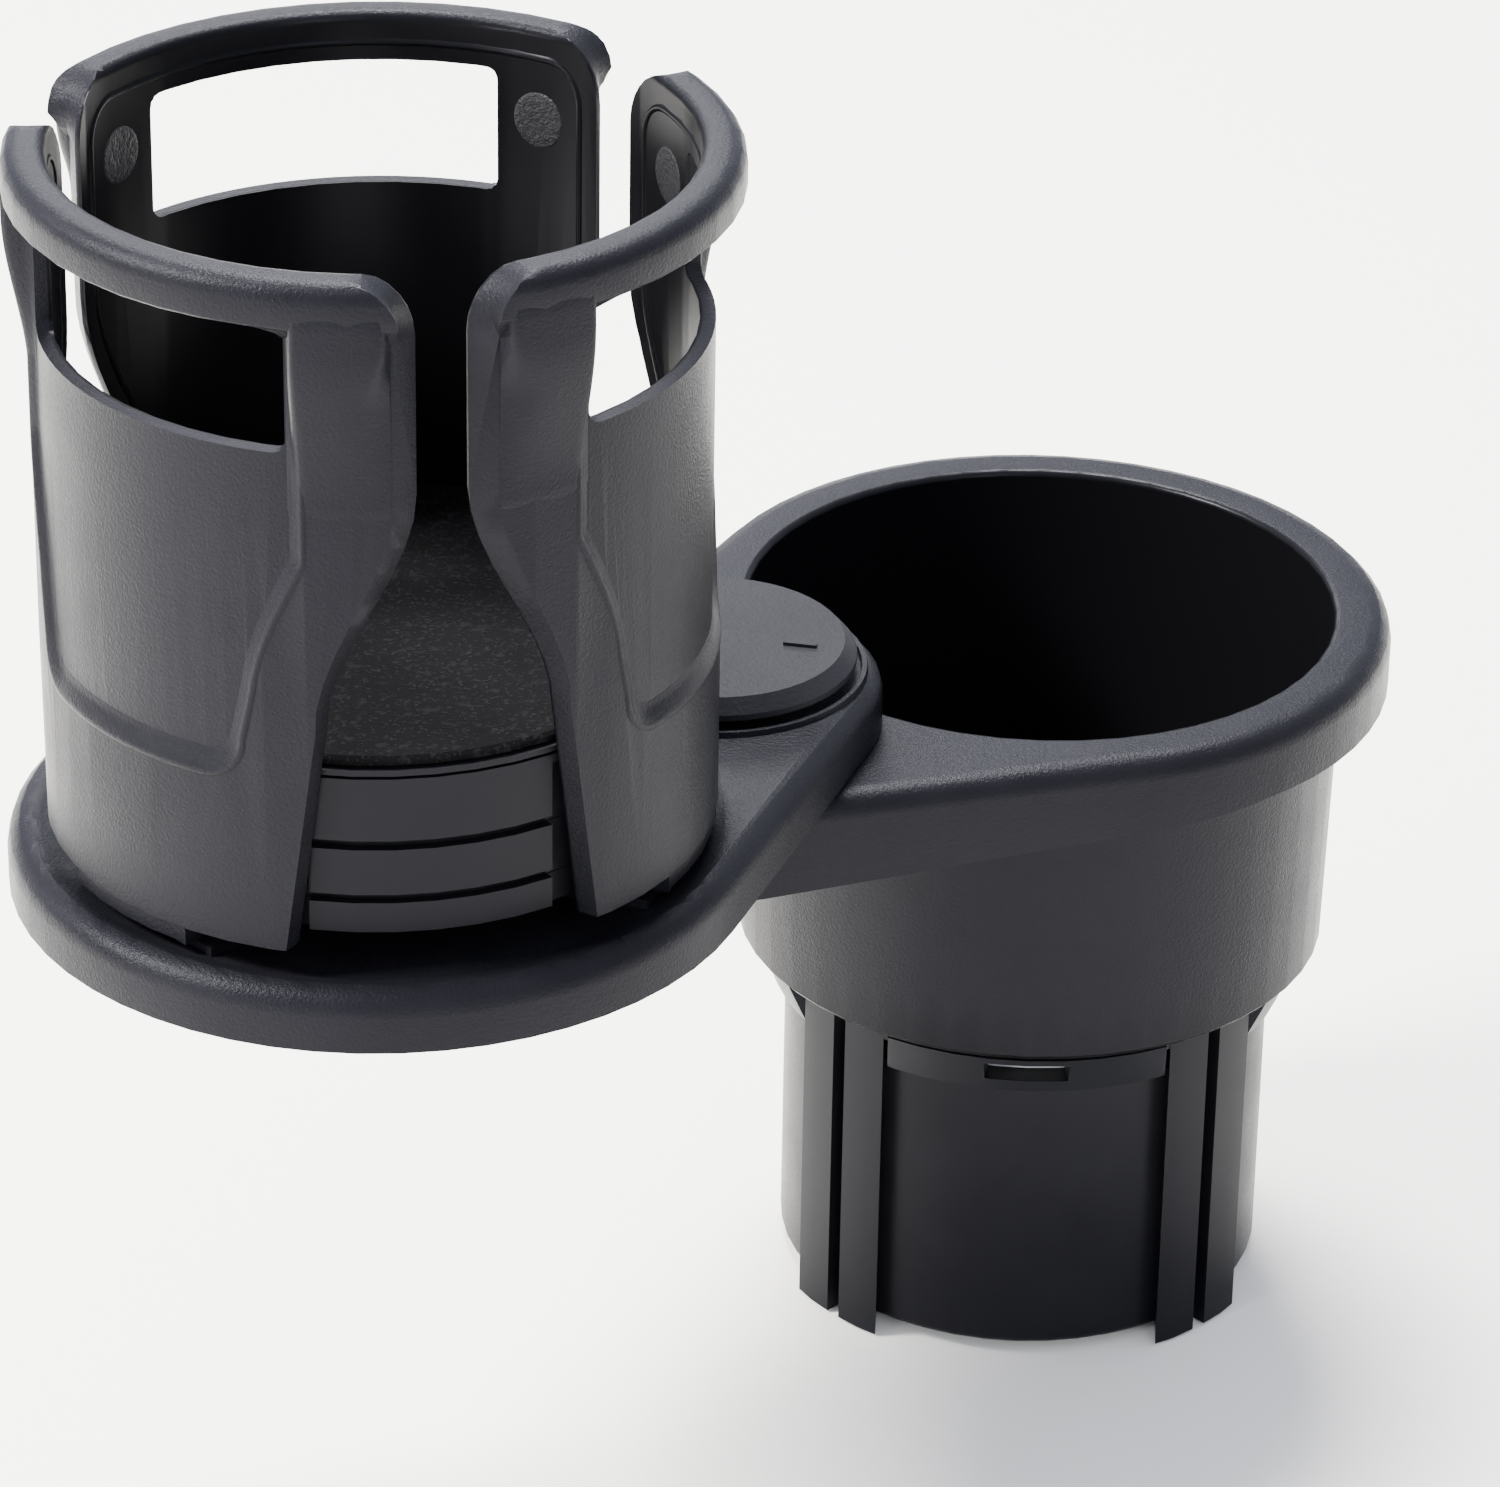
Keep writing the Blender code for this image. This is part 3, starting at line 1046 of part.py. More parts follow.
def make_hub(parent):
    """The fixed drum under the cup floor: bands between the leaves, a column down to the tray and webs."""
    under_floor = HUB_TOP_Z - HUB_FLOOR_THICKNESS
    shell_profile = [
        (0, HUB_TOP_Z),
        (HUB_RADIUS, HUB_TOP_Z),
        (HUB_RADIUS, HUB_FOOT_Z),
        (HUB_RADIUS - HUB_WALL, HUB_FOOT_Z),
        (HUB_RADIUS - HUB_WALL, under_floor),
        (HUB_COLUMN_RADIUS, under_floor),
        (HUB_COLUMN_RADIUS, HUB_COLUMN_Z),
        (0, HUB_COLUMN_Z),
    ]
    hub = turned("hub", shell_profile, centre=HOLDER)
    beyond = HUB_RADIUS * 1.1
    for foot, height in BAND_GROOVES:
        hub = cut(hub, ring(HUB_RADIUS - BAND_GROOVE_DEPTH, beyond, foot, foot + height, HOLDER))
    back_radius = HUB_RADIUS - BAND_BACK_SINK
    back_foot = HUB_FOOT_Z - GAP
    back_profile = [(back_radius, back_foot), (beyond, back_foot)]
    back_profile += [(beyond, under_floor), (back_radius, under_floor)]
    sweep = LEAF_STEP - BAND_LEFT_ANGLE - BAND_RIGHT_ANGLE
    web_low = (HUB_COLUMN_RADIUS - HUB_WEB, -HUB_WEB / 2, HUB_FOOT_Z + GAP)
    web_high = (HUB_RADIUS - HUB_WALL + GAP, HUB_WEB / 2, HUB_TOP_Z - GAP)
    for index in range(LEAF_COUNT):
        start = slot_angle(index) + BAND_RIGHT_ANGLE
        hub = cut(hub, turned("back", back_profile, angle=sweep, start=start, centre=HOLDER))
        hub = joined(hub, box(web_low, web_high, turned_about(HOLDER, slot_angle(index))))
    for centre in hub_screw_places():
        hub = cut(hub, hub_screw_hole(centre))
    return finish(hub, "hub", SATIN_BLACK, PIVOT, parent)


def make_floor_mat(parent):
    low = HUB_TOP_Z + GAP
    high = low + MAT_THICKNESS
    profile = [(0, high), (MAT_RADIUS - MAT_ROUND, high), (MAT_RADIUS, high - MAT_ROUND)]
    profile += [(MAT_RADIUS, low), (0, low)]
    return finish(turned("mat", profile, centre=HOLDER), "floor_mat", SPECKLED_MAT, PIVOT, parent)


# Knob


def make_knob(parent):
    """A bevelled disc with a raised mark, on a hub that holds the threaded insert."""
    plate_under = KNOB_TOP_Z - KNOB_PLATE
    edge_inner = KNOB_RADIUS - KNOB_EDGE_WALL
    dimple_z = KNOB_TOP_Z - KNOB_DIMPLE_DEPTH
    profile = [
        (0, dimple_z),
        (KNOB_DIMPLE_RADIUS * 0.6, dimple_z),
        (KNOB_DIMPLE_RADIUS, KNOB_TOP_Z),
        (KNOB_FACE_RADIUS, KNOB_TOP_Z),
        (KNOB_RADIUS, KNOB_TOP_Z - KNOB_BEVEL_HEIGHT),
        (KNOB_RADIUS, KNOB_EDGE_Z),
        (edge_inner, KNOB_EDGE_Z),
        (edge_inner, plate_under),
        (KNOB_HUB_RADIUS, plate_under),
        (KNOB_HUB_RADIUS, KNOB_FOOT_Z),
        (0, KNOB_FOOT_Z),
    ]
    knob = turned("knob", profile, centre=PIVOT)
    place = turned_about(PIVOT, KNOB_MARK_ANGLE)
    mark_low = (KNOB_MARK_REACH, -KNOB_MARK_WIDTH / 2, KNOB_TOP_Z - GAP)
    mark_high = (KNOB_MARK_REACH + KNOB_MARK_LENGTH, KNOB_MARK_WIDTH / 2, KNOB_TOP_Z + KNOB_MARK_HEIGHT)
    knob = joined(knob, box(mark_low, mark_high, place))
    knob = cut(knob, rod(INSERT_RADIUS + GAP, KNOB_FOOT_Z - GAP, BOLT_TIP_Z + GAP, PIVOT))
    return finish(knob, "knob", SATIN_BLACK, PIVOT, parent)


def make_knob_insert(parent):
    insert = ring(BOLT_RADIUS + SLIDE_GAP, INSERT_RADIUS, KNOB_FOOT_Z, BOLT_TIP_Z, PIVOT, BORE_FACET_COUNT)
    return finish(insert, "knob_insert", BRASS, PIVOT, parent)


def make_spring_washer(parent):
    high = SPRING_WASHER_Z + SPRING_WASHER_THICKNESS
    inner = BOLT_RADIUS + SLIDE_GAP
    washer = ring(inner, SPRING_WASHER_RADIUS, SPRING_WASHER_Z, high, PIVOT, COARSE_FACET_COUNT)
    return finish(washer, "spring_washer", STEEL, PIVOT, parent)


def main():
    core = make_base_core()
    make_foot_plate(core)
    for i, centre in enumerate(foot_screw_places()):
        make_screw(f"foot_screw_{i + 1}", centre, FOOT_SCREW_Z, FOOT_SCREW_Z + FOOT_SCREW_LENGTH, core)
    for i in range(JAW_COUNT):
        make_jaw(i, core)
    cup = make_lower_cup(core)
    make_scroll_plate(cup)
    for i, centre in enumerate(scroll_screw_places()):
        make_screw(f"scroll_screw_{i + 1}", centre, SCROLL_SCREW_Z, SCROLL_SCREW_TIP_Z, cup)
    make_pivot_bolt(cup)
    make_thrust_washer(cup)
    tray = make_tray(cup)
    make_tray_cover(tray)
    for i, centre in enumerate(cover_screw_places()):
        make_screw(f"cover_screw_{i + 1}", centre, COVER_SCREW_Z, COVER_SCREW_TIP_Z, tray)
    make_cam_ring(tray)
    make_hub(tray)
    for i, centre in enumerate(hub_screw_places()):
        make_screw(f"hub_screw_{i + 1}", centre, HUB_SCREW_Z, HUB_SCREW_Z + HUB_SCREW_LENGTH, tray)
    make_floor_mat(tray)
    for i in range(LEAF_COUNT):
        make_leaf(i, tray)
    make_spring_washer(tray)
    knob = make_knob(tray)
    make_knob_insert(knob)


main()
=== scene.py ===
# %% [markdown]
# # A cup holder expander in satin black plastic
# The model comes from CAD as one frame of named pieces, and this lesson gives it its looks. An adjustable
# base plugs into a car's cup holder and carries a lower cup. A tray swings out over the cup's rim and
# carries a second holder made of three curved leaves. Nearly all of it is one moulded plastic, so the
# lesson is about how light tells one black surface from another: grained outsides, polished insides, a
# rough mat and small metal pieces.

# %% Load the frame
import math

import bmesh
import bpy
from mathutils import Matrix, Vector


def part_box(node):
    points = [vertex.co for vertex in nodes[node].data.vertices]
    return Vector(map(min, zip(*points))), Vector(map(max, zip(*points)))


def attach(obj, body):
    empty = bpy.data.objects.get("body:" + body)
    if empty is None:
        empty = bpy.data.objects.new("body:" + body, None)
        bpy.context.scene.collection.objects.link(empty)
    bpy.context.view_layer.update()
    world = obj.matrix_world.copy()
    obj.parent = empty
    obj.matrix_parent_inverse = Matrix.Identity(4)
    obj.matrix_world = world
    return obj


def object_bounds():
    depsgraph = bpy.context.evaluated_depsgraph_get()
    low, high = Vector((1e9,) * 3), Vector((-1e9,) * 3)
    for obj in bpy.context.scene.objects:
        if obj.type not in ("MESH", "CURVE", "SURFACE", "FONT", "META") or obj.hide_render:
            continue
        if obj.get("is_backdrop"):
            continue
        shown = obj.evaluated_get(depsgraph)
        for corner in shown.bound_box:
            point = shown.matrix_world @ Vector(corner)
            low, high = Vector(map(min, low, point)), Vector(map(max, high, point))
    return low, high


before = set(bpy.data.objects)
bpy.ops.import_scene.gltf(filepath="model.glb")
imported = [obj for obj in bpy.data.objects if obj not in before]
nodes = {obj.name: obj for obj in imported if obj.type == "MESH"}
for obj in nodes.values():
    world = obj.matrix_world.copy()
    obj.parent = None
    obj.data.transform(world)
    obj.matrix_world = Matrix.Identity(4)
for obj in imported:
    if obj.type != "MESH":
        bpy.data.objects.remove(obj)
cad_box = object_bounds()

MM = 0.001
UP = Vector((0, 0, 1))

# %% [markdown]
# ## The camera
# The photo looks down at about 28 degrees through a long lens, so the rims of the cups are calm ellipses
# and little converges. The lens and the place were found by matching the round edges in the photo. The
# camera could be aimed with a Track To constraint, but a matrix built from its three axes says exactly
# where it looks, and lets the small roll of the photographer's camera be added as one angle.


# %% Place the camera
def placed(name, data):
    """A new object with this data, linked to the scene."""
    thing = bpy.data.objects.new(name, data)
    bpy.context.scene.collection.objects.link(thing)
    return thing


camera_place = Vector((-13.8, -785.8, 497.5)) * MM
heading = math.radians(1.8)
downward = math.radians(28.26)
roll = math.radians(0.97)

ahead = Vector((-math.sin(heading), math.cos(heading), 0))
forward = ahead * math.cos(downward) - UP * math.sin(downward)
level = Vector((math.cos(heading), math.sin(heading), 0))
upward = level.cross(forward)
sideways = level * math.cos(roll) + upward * math.sin(roll)
overhead = upward * math.cos(roll) - level * math.sin(roll)

lens = bpy.data.cameras.new("photo_camera")
lens.lens = 158.4
lens.sensor_width = 36
lens.sensor_fit = "HORIZONTAL"
lens.clip_start = 0.01
camera = placed("photo_camera", lens)
axes = Matrix((sideways, overhead, -forward)).transposed().to_4x4()
camera.matrix_world = Matrix.Translation(camera_place) @ axes
bpy.context.scene.camera = camera
print("camera", [round(c, 3) for c in camera.location])

# %% [markdown]
# ## Node helpers
# Every finish below is a small node tree on the Principled shader. A tree could be built by hand in the
# shader editor, but a recipe in code says its numbers openly. These helpers keep each recipe short: one
# makes the shader, one adds a node, one joins two sockets and one does a sum.


# %% Make a shader, add nodes and join them
def new_finish(name, colour, roughness, metallic=0.0, specular=0.5, tint=(1, 1, 1)):
    material = bpy.data.materials.new(name)
    material.use_nodes = True
    shader = material.node_tree.nodes["Principled BSDF"]
    shader.inputs["Base Color"].default_value = (*colour, 1)
    shader.inputs["Roughness"].default_value = roughness
    shader.inputs["Metallic"].default_value = metallic
    shader.inputs["Specular IOR Level"].default_value = specular
    shader.inputs["Specular Tint"].default_value = (*tint, 1)
    return material, shader


def add_node(material, kind, **settings):
    node = material.node_tree.nodes.new(kind)
    for key, value in settings.items():
        setattr(node, key, value)
    return node


def join(material, source, target):
    material.node_tree.links.new(source, target)


def maths(material, operation, first, second=None):
    """A sum on one or two inputs, each of them a number or another node's output."""
    node = add_node(material, "ShaderNodeMath", operation=operation)
    for socket, value in zip(node.inputs, (first, second)):
        if isinstance(value, (int, float)):
            socket.default_value = value
        elif value is not None:
            join(material, value, socket)
    return node.outputs[0]


print("shader helpers ready")

# %% [markdown]
# ## Patterns in millimetres
# A moulded grain, a fleck or a faint cloud is a pattern with a real size. The patterns read Object
# coordinates, which are true to the millimetre here, because every piece keeps its place in its mesh. UV
# maps would be the other way, but a moulded grain has no seams, and a solid pattern has none either.


# %% Make noise, map it and raise it
def object_place(material):
    return add_node(material, "ShaderNodeTexCoord").outputs["Object"]


def noise(material, grain, detail=2.0, rough=0.5):
    """A noise whose features are about one grain size across."""
    node = add_node(material, "ShaderNodeTexNoise")
    node.inputs["Scale"].default_value = 1 / grain
    node.inputs["Detail"].default_value = detail
    node.inputs["Roughness"].default_value = rough
    join(material, object_place(material), node.inputs["Vector"])
    return node.outputs["Fac"]


def between(material, value, low, high, out_low, out_high):
    """Maps a range of values onto another one and stops at its ends."""
    node = add_node(material, "ShaderNodeMapRange")
    ends = {"From Min": low, "From Max": high, "To Min": out_low, "To Max": out_high}
    for name, number in ends.items():
        node.inputs[name].default_value = number
    join(material, value, node.inputs["Value"])
    return node.outputs["Result"]


def mixed(material, kind, first, second, share):
    """A mix from the first to the second by a share from 0 to 1. Both are values or nodes' outputs."""
    mix = add_node(material, "ShaderNodeMix", data_type=kind)
    for socket, value in ((mix.inputs["A"], first), (mix.inputs["B"], second)):
        if isinstance(value, tuple):
            socket.default_value = (*value, 1)
        elif isinstance(value, float):
            socket.default_value = value
        else:
            join(material, value, socket)
    join(material, share, mix.inputs["Factor"])
    return mix.outputs["Result"]


def bumped(material, shader, height, depth):
    bump = add_node(material, "ShaderNodeBump")
    bump.inputs["Strength"].default_value = 1
    bump.inputs["Distance"].default_value = depth
    join(material, height, bump.inputs["Height"])
    join(material, bump.outputs["Normal"], shader.inputs["Normal"])


print("pattern helpers ready")

# %% [markdown]
# ## Where the inside is
# The outsides carry the fine grain that is etched into the mould. The insides were shaped by the mould's
# polished core, so they are darker and glossier. Two materials on chosen faces would do it, but a CAD
# mesh is left as it is. One material can hold both if it knows where the inside is, and here that is a
# distance from an upright axis.


# %% Find the axes and measure from them
def middle_of(name):
    low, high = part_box(name)
    return (low + high) / 2


def off_axis(material, centre):
    """How far a point of the piece is from an upright axis, in metres."""
    away = add_node(material, "ShaderNodeVectorMath", operation="SUBTRACT")
    away.inputs[1].default_value = (centre[0], centre[1], 0)
    join(material, object_place(material), away.inputs[0])
    flat = add_node(material, "ShaderNodeVectorMath", operation="MULTIPLY")
    flat.inputs[1].default_value = (1, 1, 0)
    join(material, away.outputs[0], flat.inputs[0])
    length = add_node(material, "ShaderNodeVectorMath", operation="LENGTH")
    join(material, flat.outputs[0], length.inputs[0])
    return length.outputs["Value"]


holder_axis = middle_of("floor_mat")
base_axis = middle_of("foot_plate")
print("upper holder's axis", [round(v, 4) for v in holder_axis[:2]])
print("base's axis", [round(v, 4) for v in base_axis[:2]])

# %% [markdown]
# ## Grained black plastic
# The grain breaks the reflection into a soft, slightly sparkling sheen. A plain roughness would be even
# and look like paint, so a fine noise raises the surface and varies its roughness, and a broad, faint
# cloud shifts both tone and sheen, as the mould's flow does. The room is bright all round, so the colour
# is very dark and the specular level low: at the usual level the plastic would turn grey.

# %% Mix the plastic
MOST_NOISE = (0.3, 0.7)  # where most values of a noise lie
CLOUD = 9 * MM
CLOUD_SHEEN = (-0.03, 0.04)  # what the cloud adds to the roughness
GRAIN_SHEEN = (-0.05, 0.06)  # what the grain adds to the roughness
CLOUD_TONE = (0.9, 1.12)  # what the cloud makes of the colour
PLASTIC_SPECULAR = 0.08
PLASTIC_TINT = (0.9, 0.9, 1)
POLISHED_BLACK = (0.003, 0.003, 0.0036)
POLISHED_ROUGHNESS = 0.3
POLISHED_GRAIN = 0.12  # share of the grain's height that is left on a polished face
POLISH_FADE = 0.3 * MM


def grained_plastic(name, colour, roughness, grain=0.42 * MM, depth=0.11 * MM, inside=None):
    """Satin plastic. inside is an axis and a radius, within which the face is polished."""
    material, shader = new_finish(name, colour, roughness, specular=PLASTIC_SPECULAR, tint=PLASTIC_TINT)
    cloud = noise(material, CLOUD, 3)
    height = noise(material, grain, 3, 0.7)
    patch = between(material, cloud, *MOST_NOISE, *CLOUD_SHEEN)
    sheen = between(material, height, *MOST_NOISE, *(roughness + change for change in GRAIN_SHEEN))
    rough = maths(material, "ADD", patch, sheen)
    tones = [tuple(c * share for c in colour) for share in CLOUD_TONE]
    tone = mixed(material, "RGBA", *tones, between(material, cloud, 0.25, 0.75, 0, 1))
    if inside is not None:
        axis, radius = inside
        polish = between(material, off_axis(material, axis), radius, radius + POLISH_FADE, 1, 0)
        tone = mixed(material, "RGBA", tone, POLISHED_BLACK, polish)
        rough = mixed(material, "FLOAT", rough, POLISHED_ROUGHNESS, polish)
        height = maths(material, "MULTIPLY", height, between(material, polish, 0, 1, 1, POLISHED_GRAIN))
    join(material, tone, shader.inputs["Base Color"])
    join(material, rough, shader.inputs["Roughness"])
    bumped(material, shader, height, depth)
    return material


BLACK = (0.0064, 0.0064, 0.0082)
KNOB_BLACK = (0.011, 0.011, 0.0128)
SMOOTH_BLACK = (0.0062, 0.0062, 0.0075)
finishes = {
    "body": grained_plastic("satin_black_plastic", BLACK, 0.34),
    "leaf": grained_plastic("leaf_plastic", BLACK, 0.34, inside=(holder_axis, 38.3 * MM)),
    "cup": grained_plastic("cup_plastic", BLACK, 0.34, inside=(base_axis, 39.6 * MM)),
    "knob": grained_plastic("knob_plastic", KNOB_BLACK, 0.46, grain=0.5 * MM),
    "smooth": grained_plastic("smooth_black_plastic", SMOOTH_BLACK, 0.34, depth=0.006 * MM),
}
print("plastic finishes:", sorted(finishes))

# %% [markdown]
# ## The speckled mat
# The mat on the floor of the upper holder is a soft black sheet with brownish flecks pressed into it. A
# Voronoi texture gives flecks too, but all of one size, and those look printed. So two noises of
# different sizes are cut to hard-edged spots and laid over each other, and the same spots raise the
# surface a little.


# %% Mix the mat
FLECK = (0.0105, 0.0093, 0.0098)
MAT_GROUND = ((0.0016, 0.0015, 0.0018), (0.0038, 0.0036, 0.004))


def speckled_rubber():
    material, shader = new_finish("speckled_mat_rubber", FLECK, 0.9, specular=0.06)
    small = between(material, noise(material, 0.55 * MM, 1), 0.56, 0.66, 0, 1)
    large = between(material, noise(material, 1.3 * MM, 2), 0.58, 0.68, 0, 0.7)
    flecks = maths(material, "MAXIMUM", small, large)
    ground = mixed(material, "RGBA", *MAT_GROUND, noise(material, 6 * MM, 3))
    speckled = mixed(material, "RGBA", ground, FLECK, maths(material, "MULTIPLY", flecks, 0.75))
    join(material, speckled, shader.inputs["Base Color"])
    bumped(material, shader, flecks, 0.12 * MM)
    return material


finishes["mat"] = speckled_rubber()
print("mat mixed")

# %% [markdown]
# ## Metal inside
# The screws, the pivot bolt and the spring washer are zinc plated: a bright grey with faint cloudy
# patches. The knob holds a turned brass insert. An anisotropic shader would draw out its highlight, but
# here the fine rings themselves do it, as a wave that circles the insert's axis.


# %% Mix zinc and brass
def zinc_plate():
    material, shader = new_finish("zinc_plated_steel", (0.55, 0.56, 0.58), 0.3, 1.0)
    cloud = noise(material, 1.6 * MM, 4)
    join(material, between(material, cloud, *MOST_NOISE, 0.22, 0.42), shader.inputs["Roughness"])
    tone = mixed(material, "RGBA", (0.5, 0.51, 0.54), (0.64, 0.64, 0.64), cloud)
    join(material, tone, shader.inputs["Base Color"])
    bumped(material, shader, noise(material, 0.2 * MM), 0.01 * MM)
    return material


def turned_brass(axis, pitch=0.25 * MM):
    material, shader = new_finish("turned_brass", (0.7, 0.5, 0.2), 0.3, 1.0)
    turns = maths(material, "MULTIPLY", off_axis(material, axis), 2 * math.pi / pitch)
    rings = maths(material, "SINE", turns)
    join(material, between(material, rings, -1, 1, 0.24, 0.38), shader.inputs["Roughness"])
    bumped(material, shader, rings, 0.006 * MM)
    return material


finishes["steel"] = zinc_plate()
finishes["brass"] = turned_brass(middle_of("knob_insert"))
print("metals mixed")

# %% [markdown]
# ## Nylon inside
# The scroll plate, the cam ring and the thrust washer slide on other pieces, so they are natural nylon.
# It lets a little light in. A pale diffuse colour alone would look like chalk, so it gets some subsurface
# scattering.


# %% Mix nylon
def slide_nylon():
    material, shader = new_finish("slide_nylon", (0.6, 0.6, 0.57), 0.42)
    shader.inputs["Subsurface Weight"].default_value = 0.15
    shader.inputs["Subsurface Scale"].default_value = 1.5 * MM
    cloud = noise(material, 4 * MM, 3)
    tone = mixed(material, "RGBA", (0.56, 0.56, 0.53), (0.66, 0.65, 0.62), cloud)
    join(material, tone, shader.inputs["Base Color"])
    join(material, between(material, cloud, *MOST_NOISE, 0.36, 0.5), shader.inputs["Roughness"])
    return material


finishes["nylon"] = slide_nylon()
print("all finishes:", sorted(finishes))

# %% [markdown]
# ## Dress every piece
# Each node gets the finish of its kind by name. The CAD meshes come as loose triangles, which would shade
# as flat facets. A Weld modifier joins them again, an Edge Split keeps the real edges crisp, and a
# Weighted Normal lets the large faces lead, so that the round walls look round and the thin triangles
# beside a cut-out don't show. Smooth shading by angle alone would be shorter, but it lets those thin
# triangles pull the shading about.

# %% Give each node its finish and its shading
SPLIT_ANGLE = 32
LEAF_SPLIT_ANGLE = 48  # wider, because the leaf's outline turns in coarser steps
WELD_REACH = 0.004 * MM
finish_of = {
    "lower_cup": "cup",
    "knob": "knob",
    "hub": "smooth",
    "knob_insert": "brass",
    "floor_mat": "mat",
    "base_core": "smooth",
    "foot_plate": "smooth",
    "tray_cover": "smooth",
    "scroll_plate": "nylon",
    "cam_ring": "nylon",
    "thrust_washer": "nylon",
    "pivot_bolt": "steel",
    "spring_washer": "steel",
}


def kind_of(name):
    if name in finish_of:
        return finish_of[name]
    if name.startswith("leaf_"):
        return "leaf"
    if name.startswith("jaw_"):
        return "smooth"
    return "steel" if "_screw_" in name else "body"


for name, node in nodes.items():
    kind = kind_of(name)
    if node.data.materials:
        for i in range(len(node.data.materials)):
            node.data.materials[i] = finishes[kind]
    else:
        node.data.materials.append(finishes[kind])
    node.data.shade_smooth()
    weld = node.modifiers.new("weld", "WELD")
    weld.merge_threshold = WELD_REACH
    split = node.modifiers.new("crisp_edges", "EDGE_SPLIT")
    split.split_angle = math.radians(LEAF_SPLIT_ANGLE if kind == "leaf" else SPLIT_ANGLE)
    normals = node.modifiers.new("large_faces_lead", "WEIGHTED_NORMAL")
    normals.mode = "FACE_AREA_WITH_ANGLE"
print({kind: sum(kind_of(n) == kind for n in nodes) for kind in sorted(finishes)})

# %% [markdown]
# ## Surfaces that follow a leaf
# A moulded leaf has soft forms that the CAD leaves out: a rounded crest, a rail that melts into its
# posts, a fine bead. A Bevel modifier could round edges, but it needs clean ones, and those that a
# Boolean leaves are broken into many short pieces. So each form is a small surface of its own: rows of
# points are drawn flat, as distance round the leaf and height, and wrapped round the holder's axis.

# %% Wrap rows of points round a leaf
LEAF_OUTSIDE = 41.1 * MM
LEAF_INSIDE = 38.2 * MM
FIRST_TURN = 226.2  # where the first leaf faces, in degrees
LEAF_TURNS = [math.radians(FIRST_TURN + 120 * i) for i in range(3)]
SIDES = ((-1, "left"), (1, "right"))


def on_leaf(index, across, height, radius):
    """A point from its distance round the leaf's outside, its height and its distance from the axis."""
    turn = LEAF_TURNS[index] + across / LEAF_OUTSIDE
    x = holder_axis.x + radius * math.cos(turn)
    return Vector((x, holder_axis.y + radius * math.sin(turn), height))


def leaf_piece(name, index, rows, material, inward=False):
    """A smooth surface through rows of points that rides its leaf, and faces out, or in to the axis."""
    shape = bmesh.new()
    grid = [[shape.verts.new(on_leaf(index, *point)) for point in row] for row in rows]
    for row, after in zip(grid, grid[1:]):
        for a, b, c, d in zip(row, row[1:], after[1:], after):
            face = shape.faces.new((a, d, c, b) if inward else (a, b, c, d))
            face.smooth = True
    mesh = bpy.data.meshes.new(name)
    shape.to_mesh(mesh)
    shape.free()
    mesh.materials.append(material)
    piece = placed(name, mesh)
    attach(piece, f"leaf_{index + 1}")


print("leaves face", [round(math.degrees(turn) % 360, 1) for turn in LEAF_TURNS], "degrees")

# %% [markdown]
# ## The crest round each sunk field
# Each leaf has a shallow field below its window, and the step up from it has a rounded crest that catches
# a thin line of light. Its line is drawn once on the right and mirrored. A curve object with a bevel
# profile would carry a section too, but it couldn't widen along the foot, where the step leans more.

# %% Draw the field's outline
FIELD_FLOOR = 40.1 * MM
FIELD_FOOT = 133.2 * MM
FIELD_ROUND = 4 * MM
FIELD_ROUND_CENTRE = (13.4 * MM, 137.2 * MM)
WAIST, SHOULDER, FIELD_TOP = Vector((18.8, 143)), Vector((25.2, 160)), Vector((25.2, 187.4))  # in mm
SHOULDER_STEPS = 12
FIELD_BOW = 1.4  # how hollow the field's shoulders are, 1 being straight
FIELD_SLOPE = 1.1  # how wide its sloping side is, in mm


def arc_points(centre, radius, start, end, steps):
    points = []
    for i in range(steps + 1):
        angle = math.radians(start + (end - start) * i / steps)
        points.append(Vector((centre[0] + radius * math.cos(angle), centre[1] + radius * math.sin(angle))))
    return points


def mirrored(right_side):
    return [Vector((-point.x, point.y)) for point in reversed(right_side)]


def evenly(points, spacing):
    """The same line with its points at even steps along it."""
    dense = []
    for start, end in zip(points, points[1:]):
        pieces = max(1, round((end - start).length / spacing))
        dense += [start.lerp(end, i / pieces) for i in range(pieces)]
    return dense + [points[-1]]


field_right = arc_points(FIELD_ROUND_CENTRE, FIELD_ROUND, -90, -12, 8)
rise = SHOULDER - WAIST
for i in range(SHOULDER_STEPS + 1):
    part = i / SHOULDER_STEPS
    field_right.append(Vector((WAIST.x + rise.x * part**FIELD_BOW, WAIST.y + rise.y * part)) * MM)
field_right.append(FIELD_TOP * MM)
field_line = mirrored(field_right) + [Vector((0, FIELD_FOOT))] + field_right
field_line = evenly(field_line, spacing=0.7 * MM)
print(len(field_line), "points round each field")

# %% [markdown]
# ## Carry the crest along the line
# The crest's section is a list of offsets beside the line and radii. It starts under the field's floor
# and ends under the leaf's outside, so its borders are hidden and no gap can open between it and the
# leaf.


# %% Carry the crest
FOOT_BAND = 3.2 * MM  # how far above the foot the step still leans more
# Shares of the step and the crest's swell there, in mm, and then the same beyond the step
CREST_LIFTS = ((0, 0.07), (0.25, 0.11), (0.5, 0.13), (0.75, 0.14), (0.92, 0.12))
CREST_END = ((0.1, 0.11), (0.35, 0.09), (0.6, 0.02), (0.75, -0.14))


def carried(line, section):
    """Rows for leaf_piece: the section's offsets are laid to the right of the line."""
    rows = []
    for i, point in enumerate(line):
        along = line[min(i + 1, len(line) - 1)] - line[max(i - 1, 0)]
        right = Vector((along.y, -along.x)).normalized()
        rows.append([(*(point + right * offset), radius) for offset, radius in section(point)])
    return rows


